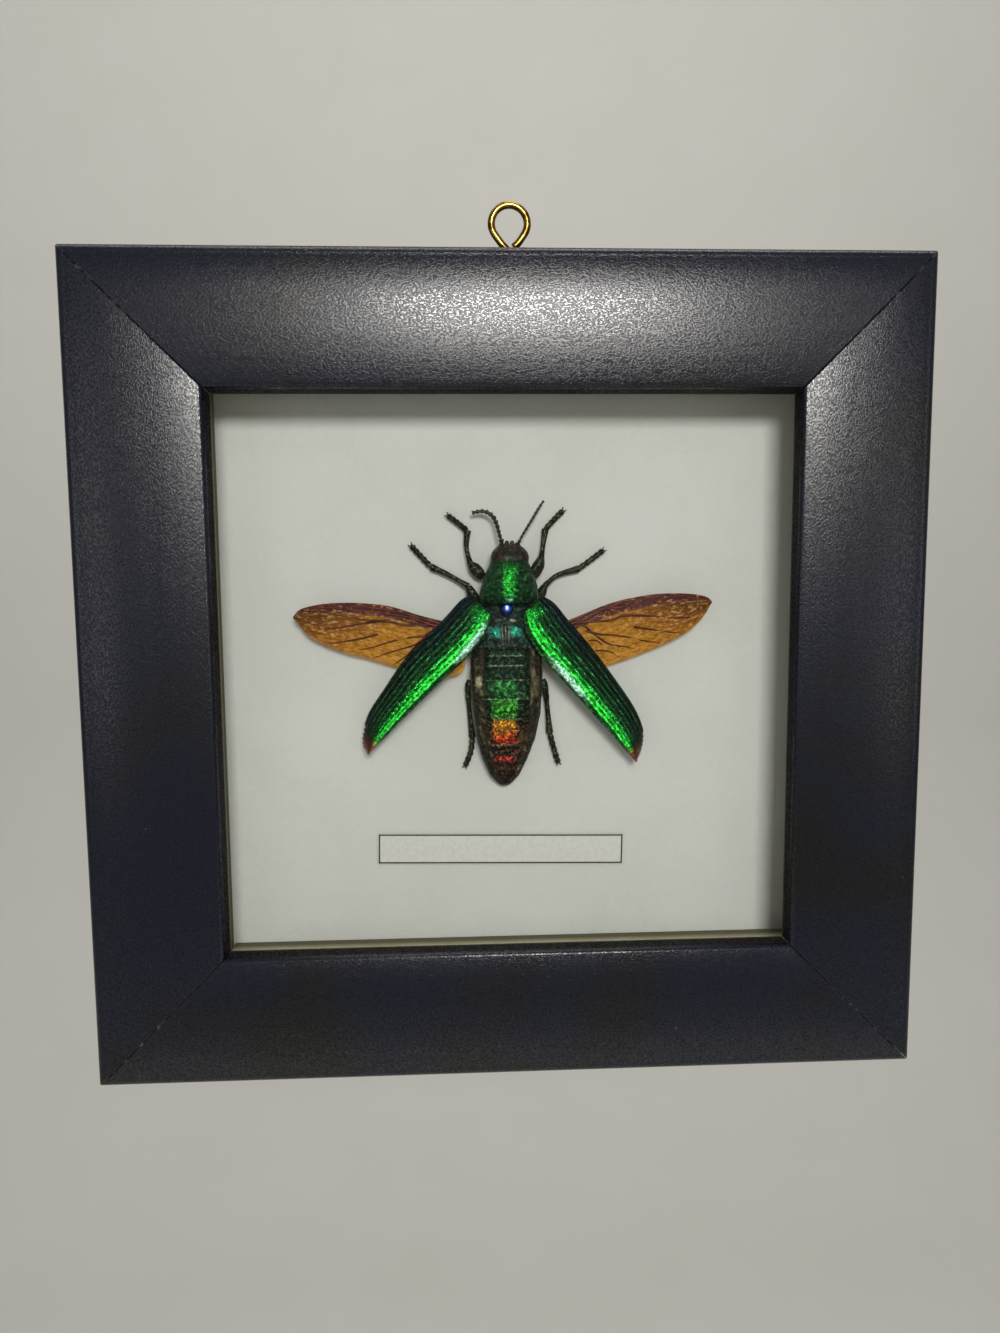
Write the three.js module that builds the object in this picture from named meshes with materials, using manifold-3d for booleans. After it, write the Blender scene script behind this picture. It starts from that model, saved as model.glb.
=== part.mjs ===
// A jewel beetle with its wings spread, mounted on a card in a small glazed frame.
// Millimetres, +Z up, the front faces -Y and the wall is on the +Y side.
// The origin is the hanging point: the top of the inside of the screw eye.
import * as THREE from 'three';
import { mergeVertices } from 'three/addons/utils/BufferGeometryUtils.js';
import Module from 'manifold-3d';

const wasm = await Module();
wasm.setup();

// Outside of the frame
const FRAME_WIDTH = 140;
const FRAME_HEIGHT = 137.4;
const FRAME_DEPTH = 22;
const GAP = 0.3;

// Moulding, measured inwards from the outer edge and back from the crest of the face
const SHOULDER_WIDTH = 1.4;
const SHOULDER_DEPTH = 2.4;
const FACE_START_DEPTH = 0.75;
const CREST_AT = 9;
const SIGHT_AT = 21.6;
const SIGHT_DEPTH = 1.0;
const LIP_AT = 22.6;
const LIP_DEPTH = 2.4;
const REBATE_DEPTH = 3.2;
const REBATE_AT = 17;

// What lies in the rebate, as depths behind the crest of the face
const GLASS_THICKNESS = 2;
const CARD_FACE_DEPTH = 14;
const CARD_THICKNESS = 1.5;
const BOARD_THICKNESS = 2.5;
const SPACER_THICKNESS = 1.3;
const TRAY_INSIDE_WIDTH = 100.3;
const TRAY_INSIDE_HEIGHT = 97.8;
const TRAY_CENTRE_X = 1.2;
const TRAY_CENTRE_Z = 0.05;

// Steel points that hold the back board
const POINT_LENGTH = 9;
const POINT_WIDTH = 5;
const POINT_THICKNESS = 0.5;
const POINT_IN_WOOD = 2.2;

// Screw eye, to the centre line of its wire
const WIRE_RADIUS = 0.62;
const RING_RADIUS = 3.0;
const RING_CENTRE_X = 1.1;
const RING_CENTRE_Z = 75.1;
const SHANK_IN_WOOD = 7;
const BORE_RADIUS = 1.0;

// Label
const LABEL_WIDTH = 44.4;
const LABEL_HEIGHT = 5.6;
const LABEL_THICKNESS = 0.25;
const LABEL_CENTRE = [-0.9, -32.5];
const LABEL_TURN = THREE.MathUtils.degToRad(1.2);

const HALF_WIDTH = FRAME_WIDTH / 2;
const HALF_HEIGHT = FRAME_HEIGHT / 2;
const REBATE_HALF_WIDTH = HALF_WIDTH - REBATE_AT;
const REBATE_HALF_HEIGHT = HALF_HEIGHT - REBATE_AT;
const GLASS_FRONT = REBATE_DEPTH + GAP;
const SPACER_FRONT = GLASS_FRONT + GLASS_THICKNESS + GAP;
const SPACER_BACK = CARD_FACE_DEPTH - GAP;
const BOARD_FRONT = CARD_FACE_DEPTH + CARD_THICKNESS + GAP;
const POINT_FRONT = BOARD_FRONT + BOARD_THICKNESS + GAP;
const HANGING_Z = RING_CENTRE_Z + RING_RADIUS - WIRE_RADIUS;

// Depth behind the crest of the face to the part's own Y, which is 0 at the frame's mid depth
const toY = (depth) => depth - FRAME_DEPTH / 2;

// Height above the card's face to Y
const above = (height) => toY(CARD_FACE_DEPTH - height);

function paint(color, roughness, metalness = 0) {
  return new THREE.MeshStandardMaterial({ color, roughness, metalness });
}

const blackPaint = paint(0x15171c, 0.42);
const clearGlass = new THREE.MeshStandardMaterial({
  color: 0xf4f8f6, roughness: 0.03, transparent: true, opacity: 0.2,
});
const paleCard = paint(0xbdbcb0, 0.9);
const spacerCard = paint(0xc9c3ab, 0.9);
const brownBoard = paint(0x6d5238, 0.85);
const pointSteel = paint(0x8d9094, 0.4, 0.9);
const eyeBrass = paint(0xb58a3c, 0.3, 1);
const labelPaper = paint(0xd2d0c6, 0.9);
const greenShell = paint(0x1d6b45, 0.3, 0.7);
const darkShell = paint(0x1c2a25, 0.35, 0.5);
const abdomenSkin = paint(0x4b3a30, 0.5, 0.2);
const amberWing = paint(0xb8791c, 0.4);

// Meshes are welded so that seams and poles share their points
function welded(geometry) {
  const bare = geometry.clone();
  bare.deleteAttribute('normal');
  bare.deleteAttribute('uv');
  const merged = mergeVertices(bare, 1e-4);
  const old = merged.index.array;
  const kept = [];
  for (let i = 0; i < old.length; i += 3) {
    const [a, b, c] = [old[i], old[i + 1], old[i + 2]];
    if (a !== b && b !== c && c !== a) kept.push(a, b, c);
  }
  merged.setIndex(kept);
  return merged;
}

function signedVolume(geometry) {
  const place = geometry.attributes.position;
  const index = geometry.index.array;
  const [a, b, c] = [new THREE.Vector3(), new THREE.Vector3(), new THREE.Vector3()];
  let total = 0;
  for (let i = 0; i < index.length; i += 3) {
    a.fromBufferAttribute(place, index[i]);
    b.fromBufferAttribute(place, index[i + 1]);
    c.fromBufferAttribute(place, index[i + 2]);
    total += a.dot(b.cross(c)) / 6;
  }
  return total;
}

// The same mesh with its faces pointing out
function facingOut(geometry) {
  const solid = welded(geometry);
  if (signedVolume(solid) < 0) {
    const index = Array.from(solid.index.array);
    for (let i = 0; i < index.length; i += 3) {
      [index[i], index[i + 1]] = [index[i + 1], index[i]];
    }
    solid.setIndex(index);
  }
  solid.computeVertexNormals();
  return solid;
}

function toManifold(geometry) {
  const solid = welded(geometry);
  return new wasm.Manifold(new wasm.Mesh({
    numProp: 3,
    vertProperties: new Float32Array(solid.attributes.position.array),
    triVerts: new Uint32Array(solid.index.array),
  }));
}

function fromManifold(manifold) {
  const mesh = manifold.getMesh();
  const geometry = new THREE.BufferGeometry();
  geometry.setAttribute('position', new THREE.BufferAttribute(mesh.vertProperties, 3));
  geometry.setIndex(new THREE.BufferAttribute(mesh.triVerts, 1));
  geometry.computeVertexNormals();
  return geometry;
}

function cutBy(geometry, cutters) {
  let body = toManifold(geometry);
  for (const cutter of cutters) body = body.subtract(toManifold(cutter));
  return fromManifold(body);
}

function joined(geometries) {
  const [first, ...rest] = geometries.map(toManifold);
  return fromManifold(rest.reduce((body, more) => body.add(more), first));
}

function named(name, geometry, material) {
  const mesh = new THREE.Mesh(geometry, material);
  mesh.name = name;
  return mesh;
}

// A box from its two corners
function block(low, high) {
  const size = high.map((value, i) => value - low[i]);
  const centre = high.map((value, i) => (value + low[i]) / 2);
  return new THREE.BoxGeometry(...size).translate(...centre);
}

// Section of the moulding: x is in from the outer edge, y is back from the crest
function mouldingSection() {
  const half = FRAME_DEPTH / 2;
  const section = new THREE.Shape();
  section.moveTo(0, half);
  section.lineTo(0, SHOULDER_DEPTH - half);
  section.quadraticCurveTo(0.1, FACE_START_DEPTH - half, SHOULDER_WIDTH, FACE_START_DEPTH - half);
  section.quadraticCurveTo(CREST_AT / 2, -half, CREST_AT, -half);
  section.quadraticCurveTo(SIGHT_AT * 0.75, -half, SIGHT_AT, SIGHT_DEPTH - half);
  section.lineTo(LIP_AT, LIP_DEPTH - half);
  section.lineTo(LIP_AT, REBATE_DEPTH - half);
  section.lineTo(REBATE_AT, REBATE_DEPTH - half);
  section.lineTo(REBATE_AT, half);
  section.closePath();
  return section;
}

// A rail of the moulding, its ends cut back at 45 degrees to leave a hairline mitre
function mitredRail(length, cutters) {
  const rail = new THREE.ExtrudeGeometry(mouldingSection(), {
    depth: length, steps: 1, bevelEnabled: false, curveSegments: 5,
  });
  const trim = GAP / 2 * Math.SQRT2;
  const place = rail.attributes.position;
  for (let i = 0; i < place.count; i += 1) {
    const inwards = place.getX(i);
    const atFarEnd = place.getZ(i) > length / 2;
    place.setZ(i, atFarEnd ? length - inwards - trim : inwards + trim);
  }
  return cutBy(rail, cutters);
}

// A slot in the rebate's wall for a steel point, half way along the rail
function pointSlot(length) {
  return block(
    [REBATE_AT - POINT_IN_WOOD - GAP, toY(POINT_FRONT - GAP), length / 2 - POINT_WIDTH / 2 - GAP],
    [REBATE_AT + 1, toY(POINT_FRONT + POINT_THICKNESS + GAP), length / 2 + POINT_WIDTH / 2 + GAP],
  );
}

// The hole in the top rail for the shank of the screw eye
function shankBore() {
  const deep = SHANK_IN_WOOD + 1;
  const bore = new THREE.CylinderGeometry(BORE_RADIUS, BORE_RADIUS, deep + 1, 12);
  bore.rotateZ(Math.PI / 2);
  bore.translate((deep - 1) / 2, 0, HALF_WIDTH + RING_CENTRE_X);
  return bore;
}

function frameRails() {
  const quarter = Math.PI / 2;
  const rails = [
    ['rail_top', FRAME_WIDTH, quarter, -HALF_WIDTH, HALF_HEIGHT, [shankBore()]],
    ['rail_right', FRAME_HEIGHT, 2 * quarter, HALF_WIDTH, HALF_HEIGHT, []],
    ['rail_bottom', FRAME_WIDTH, -quarter, HALF_WIDTH, -HALF_HEIGHT, []],
    ['rail_left', FRAME_HEIGHT, 0, -HALF_WIDTH, -HALF_HEIGHT, []],
  ];
  return rails.map(([name, length, turn, x, z, cutters]) => {
    const rail = named(name, mitredRail(length, [pointSlot(length), ...cutters]), blackPaint);
    rail.rotation.y = turn;
    rail.position.set(x, 0, z);
    return rail;
  });
}

// A steel point: a flat strip whose end in the wood comes to a point
function steelPoint() {
  const half = POINT_WIDTH / 2;
  const strip = new THREE.Shape();
  strip.moveTo(-POINT_IN_WOOD, 0);
  strip.lineTo(-POINT_IN_WOOD + 1.4, -half);
  strip.lineTo(POINT_LENGTH - POINT_IN_WOOD, -half);
  strip.lineTo(POINT_LENGTH - POINT_IN_WOOD, half);
  strip.lineTo(-POINT_IN_WOOD + 1.4, half);
  strip.closePath();
  const point = new THREE.ExtrudeGeometry(strip, { depth: POINT_THICKNESS, bevelEnabled: false });
  point.rotateX(-Math.PI / 2);
  return point;
}

function steelPoints() {
  const quarter = Math.PI / 2;
  const places = [
    ['point_left', -REBATE_HALF_WIDTH, 0, 0],
    ['point_top', 0, REBATE_HALF_HEIGHT, quarter],
    ['point_right', REBATE_HALF_WIDTH, 0, 2 * quarter],
    ['point_bottom', 0, -REBATE_HALF_HEIGHT, -quarter],
  ];
  return places.map(([name, x, z, turn]) => {
    const point = named(name, steelPoint(), pointSteel);
    point.rotation.y = turn;
    point.position.set(x, toY(POINT_FRONT), z);
    return point;
  });
}

function casePieces() {
  const halfWidth = TRAY_INSIDE_WIDTH / 2;
  const halfHeight = TRAY_INSIDE_HEIGHT / 2;
  const wall = SPACER_THICKNESS;
  const [front, back] = [toY(SPACER_FRONT), toY(SPACER_BACK)];
  const strip = (x0, z0, x1, z1) => block(
    [TRAY_CENTRE_X + x0, front, TRAY_CENTRE_Z + z0],
    [TRAY_CENTRE_X + x1, back, TRAY_CENTRE_Z + z1],
  );
  const glassHalf = [REBATE_HALF_WIDTH - GAP, REBATE_HALF_HEIGHT - GAP];
  return [
    named('glass', block(
      [-glassHalf[0], toY(GLASS_FRONT), -glassHalf[1]],
      [glassHalf[0], toY(GLASS_FRONT + GLASS_THICKNESS), glassHalf[1]],
    ), clearGlass),
    named('spacer_top', strip(-halfWidth, halfHeight, halfWidth, halfHeight + wall), spacerCard),
    named('spacer_bottom', strip(-halfWidth, -halfHeight - wall, halfWidth, -halfHeight), spacerCard),
    named('spacer_left', strip(
      -halfWidth - wall - GAP, -halfHeight - wall, -halfWidth - GAP, halfHeight + wall,
    ), spacerCard),
    named('spacer_right', strip(
      halfWidth + GAP, -halfHeight - wall, halfWidth + wall + GAP, halfHeight + wall,
    ), spacerCard),
    named('mount_card', block(
      [-glassHalf[0], toY(CARD_FACE_DEPTH), -glassHalf[1]],
      [glassHalf[0], toY(CARD_FACE_DEPTH + CARD_THICKNESS), glassHalf[1]],
    ), paleCard),
    named('back_board', block(
      [-glassHalf[0], toY(BOARD_FRONT), -glassHalf[1]],
      [glassHalf[0], toY(BOARD_FRONT + BOARD_THICKNESS), glassHalf[1]],
    ), brownBoard),
  ];
}

function paperLabel() {
  const label = named(
    'label', new THREE.BoxGeometry(LABEL_WIDTH, LABEL_THICKNESS, LABEL_HEIGHT), labelPaper,
  );
  label.rotation.y = LABEL_TURN;
  label.position.set(LABEL_CENTRE[0], above(GAP + LABEL_THICKNESS / 2), LABEL_CENTRE[1]);
  return label;
}

// One wire: the shank comes up, runs once round the ring and ends beside the shank
function screwEye() {
  const foot = HALF_HEIGHT - SHANK_IN_WOOD;
  const neck = RING_CENTRE_Z - RING_RADIUS * 1.7;
  const wirePoints = [
    [0, foot], [0, (foot + neck) / 2], [0, neck],
    [-RING_RADIUS * 0.12, RING_CENTRE_Z - RING_RADIUS * 1.42],
    [-RING_RADIUS * 0.42, RING_CENTRE_Z - RING_RADIUS * 1.1],
  ];
  const start = THREE.MathUtils.degToRad(215);
  const sweep = THREE.MathUtils.degToRad(-250);
  const turns = 14;
  for (let i = 0; i <= turns; i += 1) {
    const angle = start + sweep * i / turns;
    wirePoints.push([
      RING_RADIUS * Math.cos(angle), RING_CENTRE_Z + RING_RADIUS * Math.sin(angle),
    ]);
  }
  wirePoints.push([RING_RADIUS * 0.42, RING_CENTRE_Z - RING_RADIUS * 1.1]);
  const section = new THREE.Shape();
  section.absarc(0, 0, WIRE_RADIUS, 0, 2 * Math.PI);
  const wire = new THREE.ExtrudeGeometry(section, {
    extrudePath: outline(wirePoints), steps: 46, curveSegments: 4, bevelEnabled: false,
  });
  wire.translate(RING_CENTRE_X, 0, 0);
  return named('screw_eye', facingOut(wire), eyeBrass);
}

// A closed skin over rings: sectionAt(t, angle) gives a ring's points, from t = 0 to t = 1,
// and sectionAt(t, null) the middle of a ring, where the skin closes.
function skin(around, rings, sectionAt) {
  const grid = new THREE.SphereGeometry(1, around, rings + 1);
  const place = grid.attributes.position;
  const uv = grid.attributes.uv;
  for (let i = 0; i < place.count; i += 1) {
    const row = Math.round((1 - uv.getY(i)) * (rings + 1));
    const atPole = row === 0 || row === rings + 1;
    const t = THREE.MathUtils.clamp((row - 1) / (rings - 1), 0, 1);
    const angle = atPole ? null : 2 * Math.PI * uv.getX(i);
    const point = sectionAt(t, angle);
    place.setXYZ(i, point.x, point.y, point.z);
  }
  return facingOut(grid);
}

// A smooth curve through [x, z] pairs
function outline(pairs) {
  const points = pairs.map(([x, z]) => new THREE.Vector3(x, 0, z));
  return new THREE.CatmullRomCurve3(points, false, 'centripetal');
}

// A smooth run through plain numbers, evenly spaced from t = 0 to t = 1
function along(values, t) {
  const at = t * (values.length - 1);
  const i = Math.min(Math.floor(at), values.length - 2);
  const part = at - i;
  const ease = part * part * (3 - 2 * part);
  return values[i] + (values[i + 1] - values[i]) * (0.5 * part + 0.5 * ease);
}

// A wing or wing case between its leading and its trailing edge. across runs from 1 at the
// leading edge to -1 at the trailing edge, and the camber is highest where across is crest.
function blade({
  lead, trail, leadHeights, trailHeights, thickness, camber, crest, around, rings,
}) {
  const leadCurve = outline(lead);
  const trailCurve = outline(trail);
  const bulge = (across) => {
    const reach = across > crest ? 1 - crest : 1 + crest;
    return camber * (1 - ((across - crest) / reach) ** 2);
  };
  return skin(around, rings, (t, angle) => {
    const a = leadCurve.getPointAt(t).setY(above(along(leadHeights, t)));
    const b = trailCurve.getPointAt(t).setY(above(along(trailHeights, t)));
    const across = angle === null ? 0 : Math.cos(angle);
    const upper = angle === null ? 0 : Math.sin(angle);
    const point = a.clone().add(b).multiplyScalar(0.5);
    point.addScaledVector(a.sub(b), across / 2);
    point.y -= thickness / 2 * upper + bulge(across);
    return point;
  });
}

// A body segment: stations are [z, middle x, half width, lowest, highest]
function segment({ stations, around, rings, squareness = 2, folds = 0, foldDepth = 0 }) {
  const column = (k) => stations.map((station) => station[k]);
  return skin(around, rings, (t, angle) => {
    const [z, x, half, low, high] = [0, 1, 2, 3, 4].map((k) => along(column(k), t));
    const middle = new THREE.Vector3(x, above((low + high) / 2), z);
    if (angle === null) return middle;
    const fold = 1 - foldDepth * (1 - ((t * folds) % 1));
    const power = 2 / squareness;
    const round = (value) => Math.sign(value) * Math.abs(value) ** power;
    middle.x += half * fold * round(Math.cos(angle));
    middle.y -= (high - low) / 2 * fold * round(Math.sin(angle));
    return middle;
  });
}

// A limb: stations are [x, z, height above the card, radius]
function limb(stations, around, rings) {
  const points = stations.map(([x, z, height]) => new THREE.Vector3(x, above(height), z));
  const path = new THREE.CatmullRomCurve3(points, false, 'catmullrom', 0.3);
  const radii = stations.map((station) => station[3]);
  const forwards = new THREE.Vector3(0, 1, 0);
  return skin(around, rings, (t, angle) => {
    const point = path.getPoint(t);
    if (angle === null) return point;
    const side = new THREE.Vector3().crossVectors(path.getTangent(t), forwards).normalize();
    const radius = along(radii, t);
    point.addScaledVector(side, radius * Math.cos(angle));
    return point.addScaledVector(forwards, radius * Math.sin(angle));
  });
}

const ball = (x, z, height, size, steps = 10) => new THREE.SphereGeometry(1, steps, steps - 2)
  .scale(...size).translate(x, above(height), z);

function beetleHead() {
  const skull = segment({
    stations: [
      [19.4, 0.8, 2.9, 1.2, 6.0], [20.2, 0.8, 2.9, 1.0, 6.1],
      [21.0, 0.8, 2.6, 1.1, 5.4], [21.7, 0.8, 2.1, 1.4, 4.5], [22.3, 0.8, 1.3, 2.0, 3.6],
    ],
    around: 14, rings: 9, squareness: 2.3,
  });
  const eyes = [-1, 1].map((side) => ball(0.8 + 2.15 * side, 20.7, 3.9, [1.15, 2.0, 1.2]));
  return joined([skull, ...eyes]);
}

function beetlePronotum() {
  return segment({
    stations: [
      [19.1, 0.7, 3.1, 1.3, 6.2], [17.8, 0.65, 4.15, 0.9, 7.3], [15.8, 0.6, 4.85, 0.8, 8.0],
      [13.8, 0.55, 5.1, 0.8, 7.9], [12.2, 0.5, 5.1, 1.0, 7.0],
    ],
    around: 20, rings: 10, squareness: 2.4,
  });
}

function beetleThorax() {
  const trunk = segment({
    stations: [
      [11.8, 0.3, 4.3, 0.9, 4.8], [9.6, 0.2, 5.5, 0.6, 5.0],
      [7.0, 0.15, 6.1, 0.4, 5.2], [4.4, 0.15, 6.2, 0.4, 5.5],
    ],
    around: 20, rings: 9, squareness: 2.6,
  });
  const scutellum = ball(0.1, 11.0, 5.1, [1.3, 1.6, 1.0]);
  const lobes = [-1, 1].map((side) => ball(1.7 * side, 7.2, 4.9, [1.5, 1.1, 1.3]));
  return joined([trunk, scutellum, ...lobes]);
}

function beetleAbdomen() {
  return segment({
    stations: [
      [4.05, 0.15, 6.1, 0.5, 5.7], [0, 0.1, 6.35, 0.3, 6.1], [-4, 0.1, 6.25, 0.3, 6.1],
      [-8, 0.15, 5.85, 0.3, 5.7], [-12, 0.0, 5.1, 0.3, 5.1], [-15.6, -0.2, 4.0, 0.35, 4.4],
      [-18.6, -0.25, 2.6, 0.4, 3.4], [-20.7, -0.3, 0.8, 0.7, 2.0],
    ],
    around: 22, rings: 22, squareness: 2.25, folds: 7, foldDepth: 0.03,
  });
}

function elytra() {
  const shape = {
    leadHeights: [5.5, 4.9, 4.3, 3.8, 3.2, 2.6],
    trailHeights: [6.1, 6.1, 5.8, 5.3, 4.7, 4.1],
    thickness: 0.6,
    camber: 1.2,
    crest: -0.4,
    around: 14,
    rings: 18,
  };
  const left = blade({
    lead: [
      [-5.6, 13.5], [-7.4, 12.9], [-10.0, 10.2], [-12.6, 7.5], [-17.4, 2.7], [-21.0, -2.4],
      [-24.1, -7.2], [-25.2, -11.0], [-25.2, -12.8], [-24.4, -14.2],
    ],
    trail: [
      [-2.4, 9.6], [-3.8, 6.5], [-5.2, 4.7], [-7.2, 2.5], [-10.1, -0.2], [-16.0, -5.9],
      [-19.2, -9.1], [-22.2, -12.2], [-23.9, -13.9],
    ],
    ...shape,
  });
  const right = blade({
    lead: [
      [6.3, 13.3], [8.2, 12.1], [10.7, 9.1], [13.5, 5.9], [16.3, 2.4], [20.8, -3.8],
      [22.8, -6.9], [24.0, -9.6], [24.5, -11.8], [24.1, -14.5], [23.2, -16.3],
    ],
    trail: [
      [2.9, 10.2], [3.2, 7.4], [4.6, 4.8], [6.3, 2.4], [8.9, -0.5], [14.7, -7.0],
      [18.0, -10.7], [20.8, -14.0], [22.7, -16.1],
    ],
    ...shape,
  });
  return [named('elytron_left', left, greenShell), named('elytron_right', right, greenShell)];
}

function hindwings() {
  const shape = {
    leadHeights: [3.1, 3.0, 2.9, 3.0, 3.2, 3.4],
    trailHeights: [2.9, 2.7, 2.5, 2.6, 2.9, 3.3],
    thickness: 0.4,
    camber: 0.2,
    crest: 0.3,
    around: 10,
    rings: 18,
  };
  const left = blade({
    lead: [
      [-6.9, 7.6], [-11.0, 9.0], [-14.5, 9.9], [-19.9, 11.6], [-23.4, 12.1], [-27.0, 12.3],
      [-30.6, 12.2], [-33.8, 11.7], [-35.5, 11.1], [-36.4, 10.1],
    ],
    trail: [
      [-6.9, 3.4], [-7.4, 0.4], [-9.2, -0.6], [-13.0, -0.6], [-19.3, 1.2], [-23.1, 2.4],
      [-27.2, 3.5], [-30.4, 4.7], [-34.0, 6.7], [-35.5, 8.6], [-36.4, 9.6],
    ],
    ...shape,
  });
  const right = blade({
    lead: [
      [7.1, 7.6], [12.9, 9.6], [16.2, 11.0], [19.6, 12.1], [22.9, 12.8], [26.3, 13.3],
      [30.5, 13.4], [33.8, 13.1], [35.5, 12.6], [36.1, 12.0],
    ],
    trail: [
      [7.1, 3.4], [7.6, 0.6], [9.4, -0.6], [13.0, -0.7], [18.4, 1.0], [23.7, 2.8],
      [28.1, 4.6], [32.3, 6.8], [34.7, 9.2], [35.7, 10.9], [36.1, 11.6],
    ],
    ...shape,
  });
  return [named('hindwing_left', left, amberWing), named('hindwing_right', right, amberWing)];
}

// Each leg runs from the thigh to the claws
function legs() {
  const routes = {
    leg_front_left: [
      [-4.5, 17.2, 1.7, 0.7], [-5.3, 18.1, 1.9, 0.95], [-5.95, 18.8, 1.9, 0.6],
      [-6.6, 21.6, 1.4, 0.45], [-6.4, 24.5, 1.0, 0.4], [-8.0, 25.8, 0.9, 0.5],
      [-9.7, 27.1, 0.9, 0.35],
    ],
    leg_front_right: [
      [5.3, 17.0, 1.7, 0.7], [5.9, 18.4, 1.9, 0.85], [6.4, 19.7, 1.9, 0.6],
      [6.8, 22.2, 1.4, 0.45], [7.2, 24.7, 1.0, 0.4], [8.6, 26.2, 0.9, 0.55],
      [10.2, 27.8, 0.9, 0.35],
    ],
    leg_middle_left: [
      [-5.1, 12.3, 1.5, 0.7], [-5.7, 13.5, 1.8, 0.8], [-6.3, 14.9, 1.8, 0.5],
      [-9.4, 16.7, 1.3, 0.4], [-12.8, 18.3, 1.0, 0.55], [-14.4, 20.0, 0.9, 0.5],
      [-16.1, 21.9, 0.9, 0.35],
    ],
    leg_middle_right: [
      [5.7, 12.3, 1.5, 0.7], [6.3, 13.5, 1.8, 0.8], [7.0, 14.9, 1.8, 0.5],
      [9.1, 16.6, 1.3, 0.4], [13.1, 17.8, 1.0, 0.55], [15.2, 19.3, 0.9, 0.5],
      [17.3, 20.9, 0.9, 0.35],
    ],
    leg_hind_left: [
      [-6.25, -1.6, 1.0, 0.55], [-6.5, -2.8, 1.2, 0.6], [-6.6, -4.3, 1.1, 0.4],
      [-6.3, -8.0, 1.0, 0.38], [-5.9, -11.8, 0.9, 0.42], [-6.2, -14.5, 0.9, 0.42],
      [-7.2, -17.0, 0.9, 0.35],
    ],
    leg_hind_right: [
      [6.65, -1.6, 1.0, 0.55], [6.95, -2.8, 1.2, 0.6], [7.25, -4.3, 1.1, 0.4],
      [7.6, -8.0, 1.0, 0.38], [7.9, -11.3, 0.9, 0.42], [8.6, -14.0, 0.9, 0.42],
      [9.4, -16.7, 0.9, 0.35],
    ],
  };
  return Object.entries(routes).map(
    ([name, stations]) => named(name, limb(stations, 8, 14), darkShell),
  );
}

function antennae() {
  const left = [
    [-0.4, 22.3, 3.2, 0.32], [-0.9, 23.6, 3.2, 0.24], [-1.4, 25.6, 3.0, 0.28],
    [-2.1, 27.0, 2.7, 0.3], [-3.6, 27.8, 2.4, 0.26], [-5.6, 27.5, 2.2, 0.16],
  ];
  const right = [
    [2.2, 22.2, 3.2, 0.32], [2.9, 23.4, 3.2, 0.24], [4.1, 25.3, 3.0, 0.28],
    [5.1, 26.9, 2.7, 0.24], [6.0, 28.4, 2.4, 0.18], [6.8, 29.5, 2.2, 0.12],
  ];
  return [
    named('antenna_left', limb(left, 6, 12), darkShell),
    named('antenna_right', limb(right, 6, 12), darkShell),
  ];
}

function beetle() {
  return [
    named('beetle_head', beetleHead(), darkShell),
    named('beetle_pronotum', beetlePronotum(), greenShell),
    named('beetle_thorax', beetleThorax(), darkShell),
    named('beetle_abdomen', beetleAbdomen(), abdomenSkin),
    ...elytra(),
    ...hindwings(),
    ...legs(),
    ...antennae(),
  ];
}

// Everything is laid out from the middle of the frame, then hung from the eye
const framed = new THREE.Group();
framed.add(...frameRails(), ...casePieces(), ...steelPoints(), screwEye(), paperLabel(), ...beetle());
framed.position.set(-RING_CENTRE_X, 0, -HANGING_Z);

const specimen = new THREE.Group();
specimen.add(framed);

export default specimen;
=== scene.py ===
# %% [markdown]
# # A jewel beetle in a small black frame
# A dried jewel beetle lies spread on a pale card, behind glass, in a black painted moulding that
# hangs from a brass screw eye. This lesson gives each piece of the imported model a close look:
# shapes are made with bmesh operators and every finish is a small node tree.
#
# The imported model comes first. Its nodes give the room that each new piece has.

import math

import bmesh
import bpy
from mathutils import Matrix, Vector, noise
from mathutils.bvhtree import BVHTree


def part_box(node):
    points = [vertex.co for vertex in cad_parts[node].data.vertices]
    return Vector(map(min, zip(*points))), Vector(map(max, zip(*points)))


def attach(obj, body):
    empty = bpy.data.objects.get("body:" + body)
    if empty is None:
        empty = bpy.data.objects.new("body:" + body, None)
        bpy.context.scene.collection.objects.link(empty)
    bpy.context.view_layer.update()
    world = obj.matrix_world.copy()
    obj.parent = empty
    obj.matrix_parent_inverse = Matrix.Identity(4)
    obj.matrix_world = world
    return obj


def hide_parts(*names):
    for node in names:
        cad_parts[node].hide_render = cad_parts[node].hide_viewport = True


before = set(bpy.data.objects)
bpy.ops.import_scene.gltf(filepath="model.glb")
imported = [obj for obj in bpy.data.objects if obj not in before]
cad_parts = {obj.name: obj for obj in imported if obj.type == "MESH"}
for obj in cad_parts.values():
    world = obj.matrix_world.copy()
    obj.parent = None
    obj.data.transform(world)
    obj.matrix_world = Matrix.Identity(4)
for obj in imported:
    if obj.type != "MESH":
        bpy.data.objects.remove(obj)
scene = bpy.context.scene
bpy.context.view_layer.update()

# %% [markdown]
# Everything is drawn in millimetres from the middle of the frame, because that is how the work
# was measured: x to the right, y back from the frame's mid depth and z up. One matrix takes a
# finished mesh to metres and to the hanging point. Heights in the case are counted from the
# card's face towards the glass.

# %% Units and the pieces' last step
HANGING_POINT = Vector((1.1, 0.0, 77.48))
CARD_FACE_Y = 3.0
TO_PART = Matrix.Scale(0.001, 4) @ Matrix.Translation(-HANGING_POINT)


def spot(x, z, height):
    """A point over the card, in millimetres."""
    return Vector((x, CARD_FACE_Y - height, z))


def new_shape():
    """An empty bmesh whose points remember where they lie along and across a skin."""
    bm = bmesh.new()
    bm.verts.layers.float.new("along")
    bm.verts.layers.float.new("across")
    return bm


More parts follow.
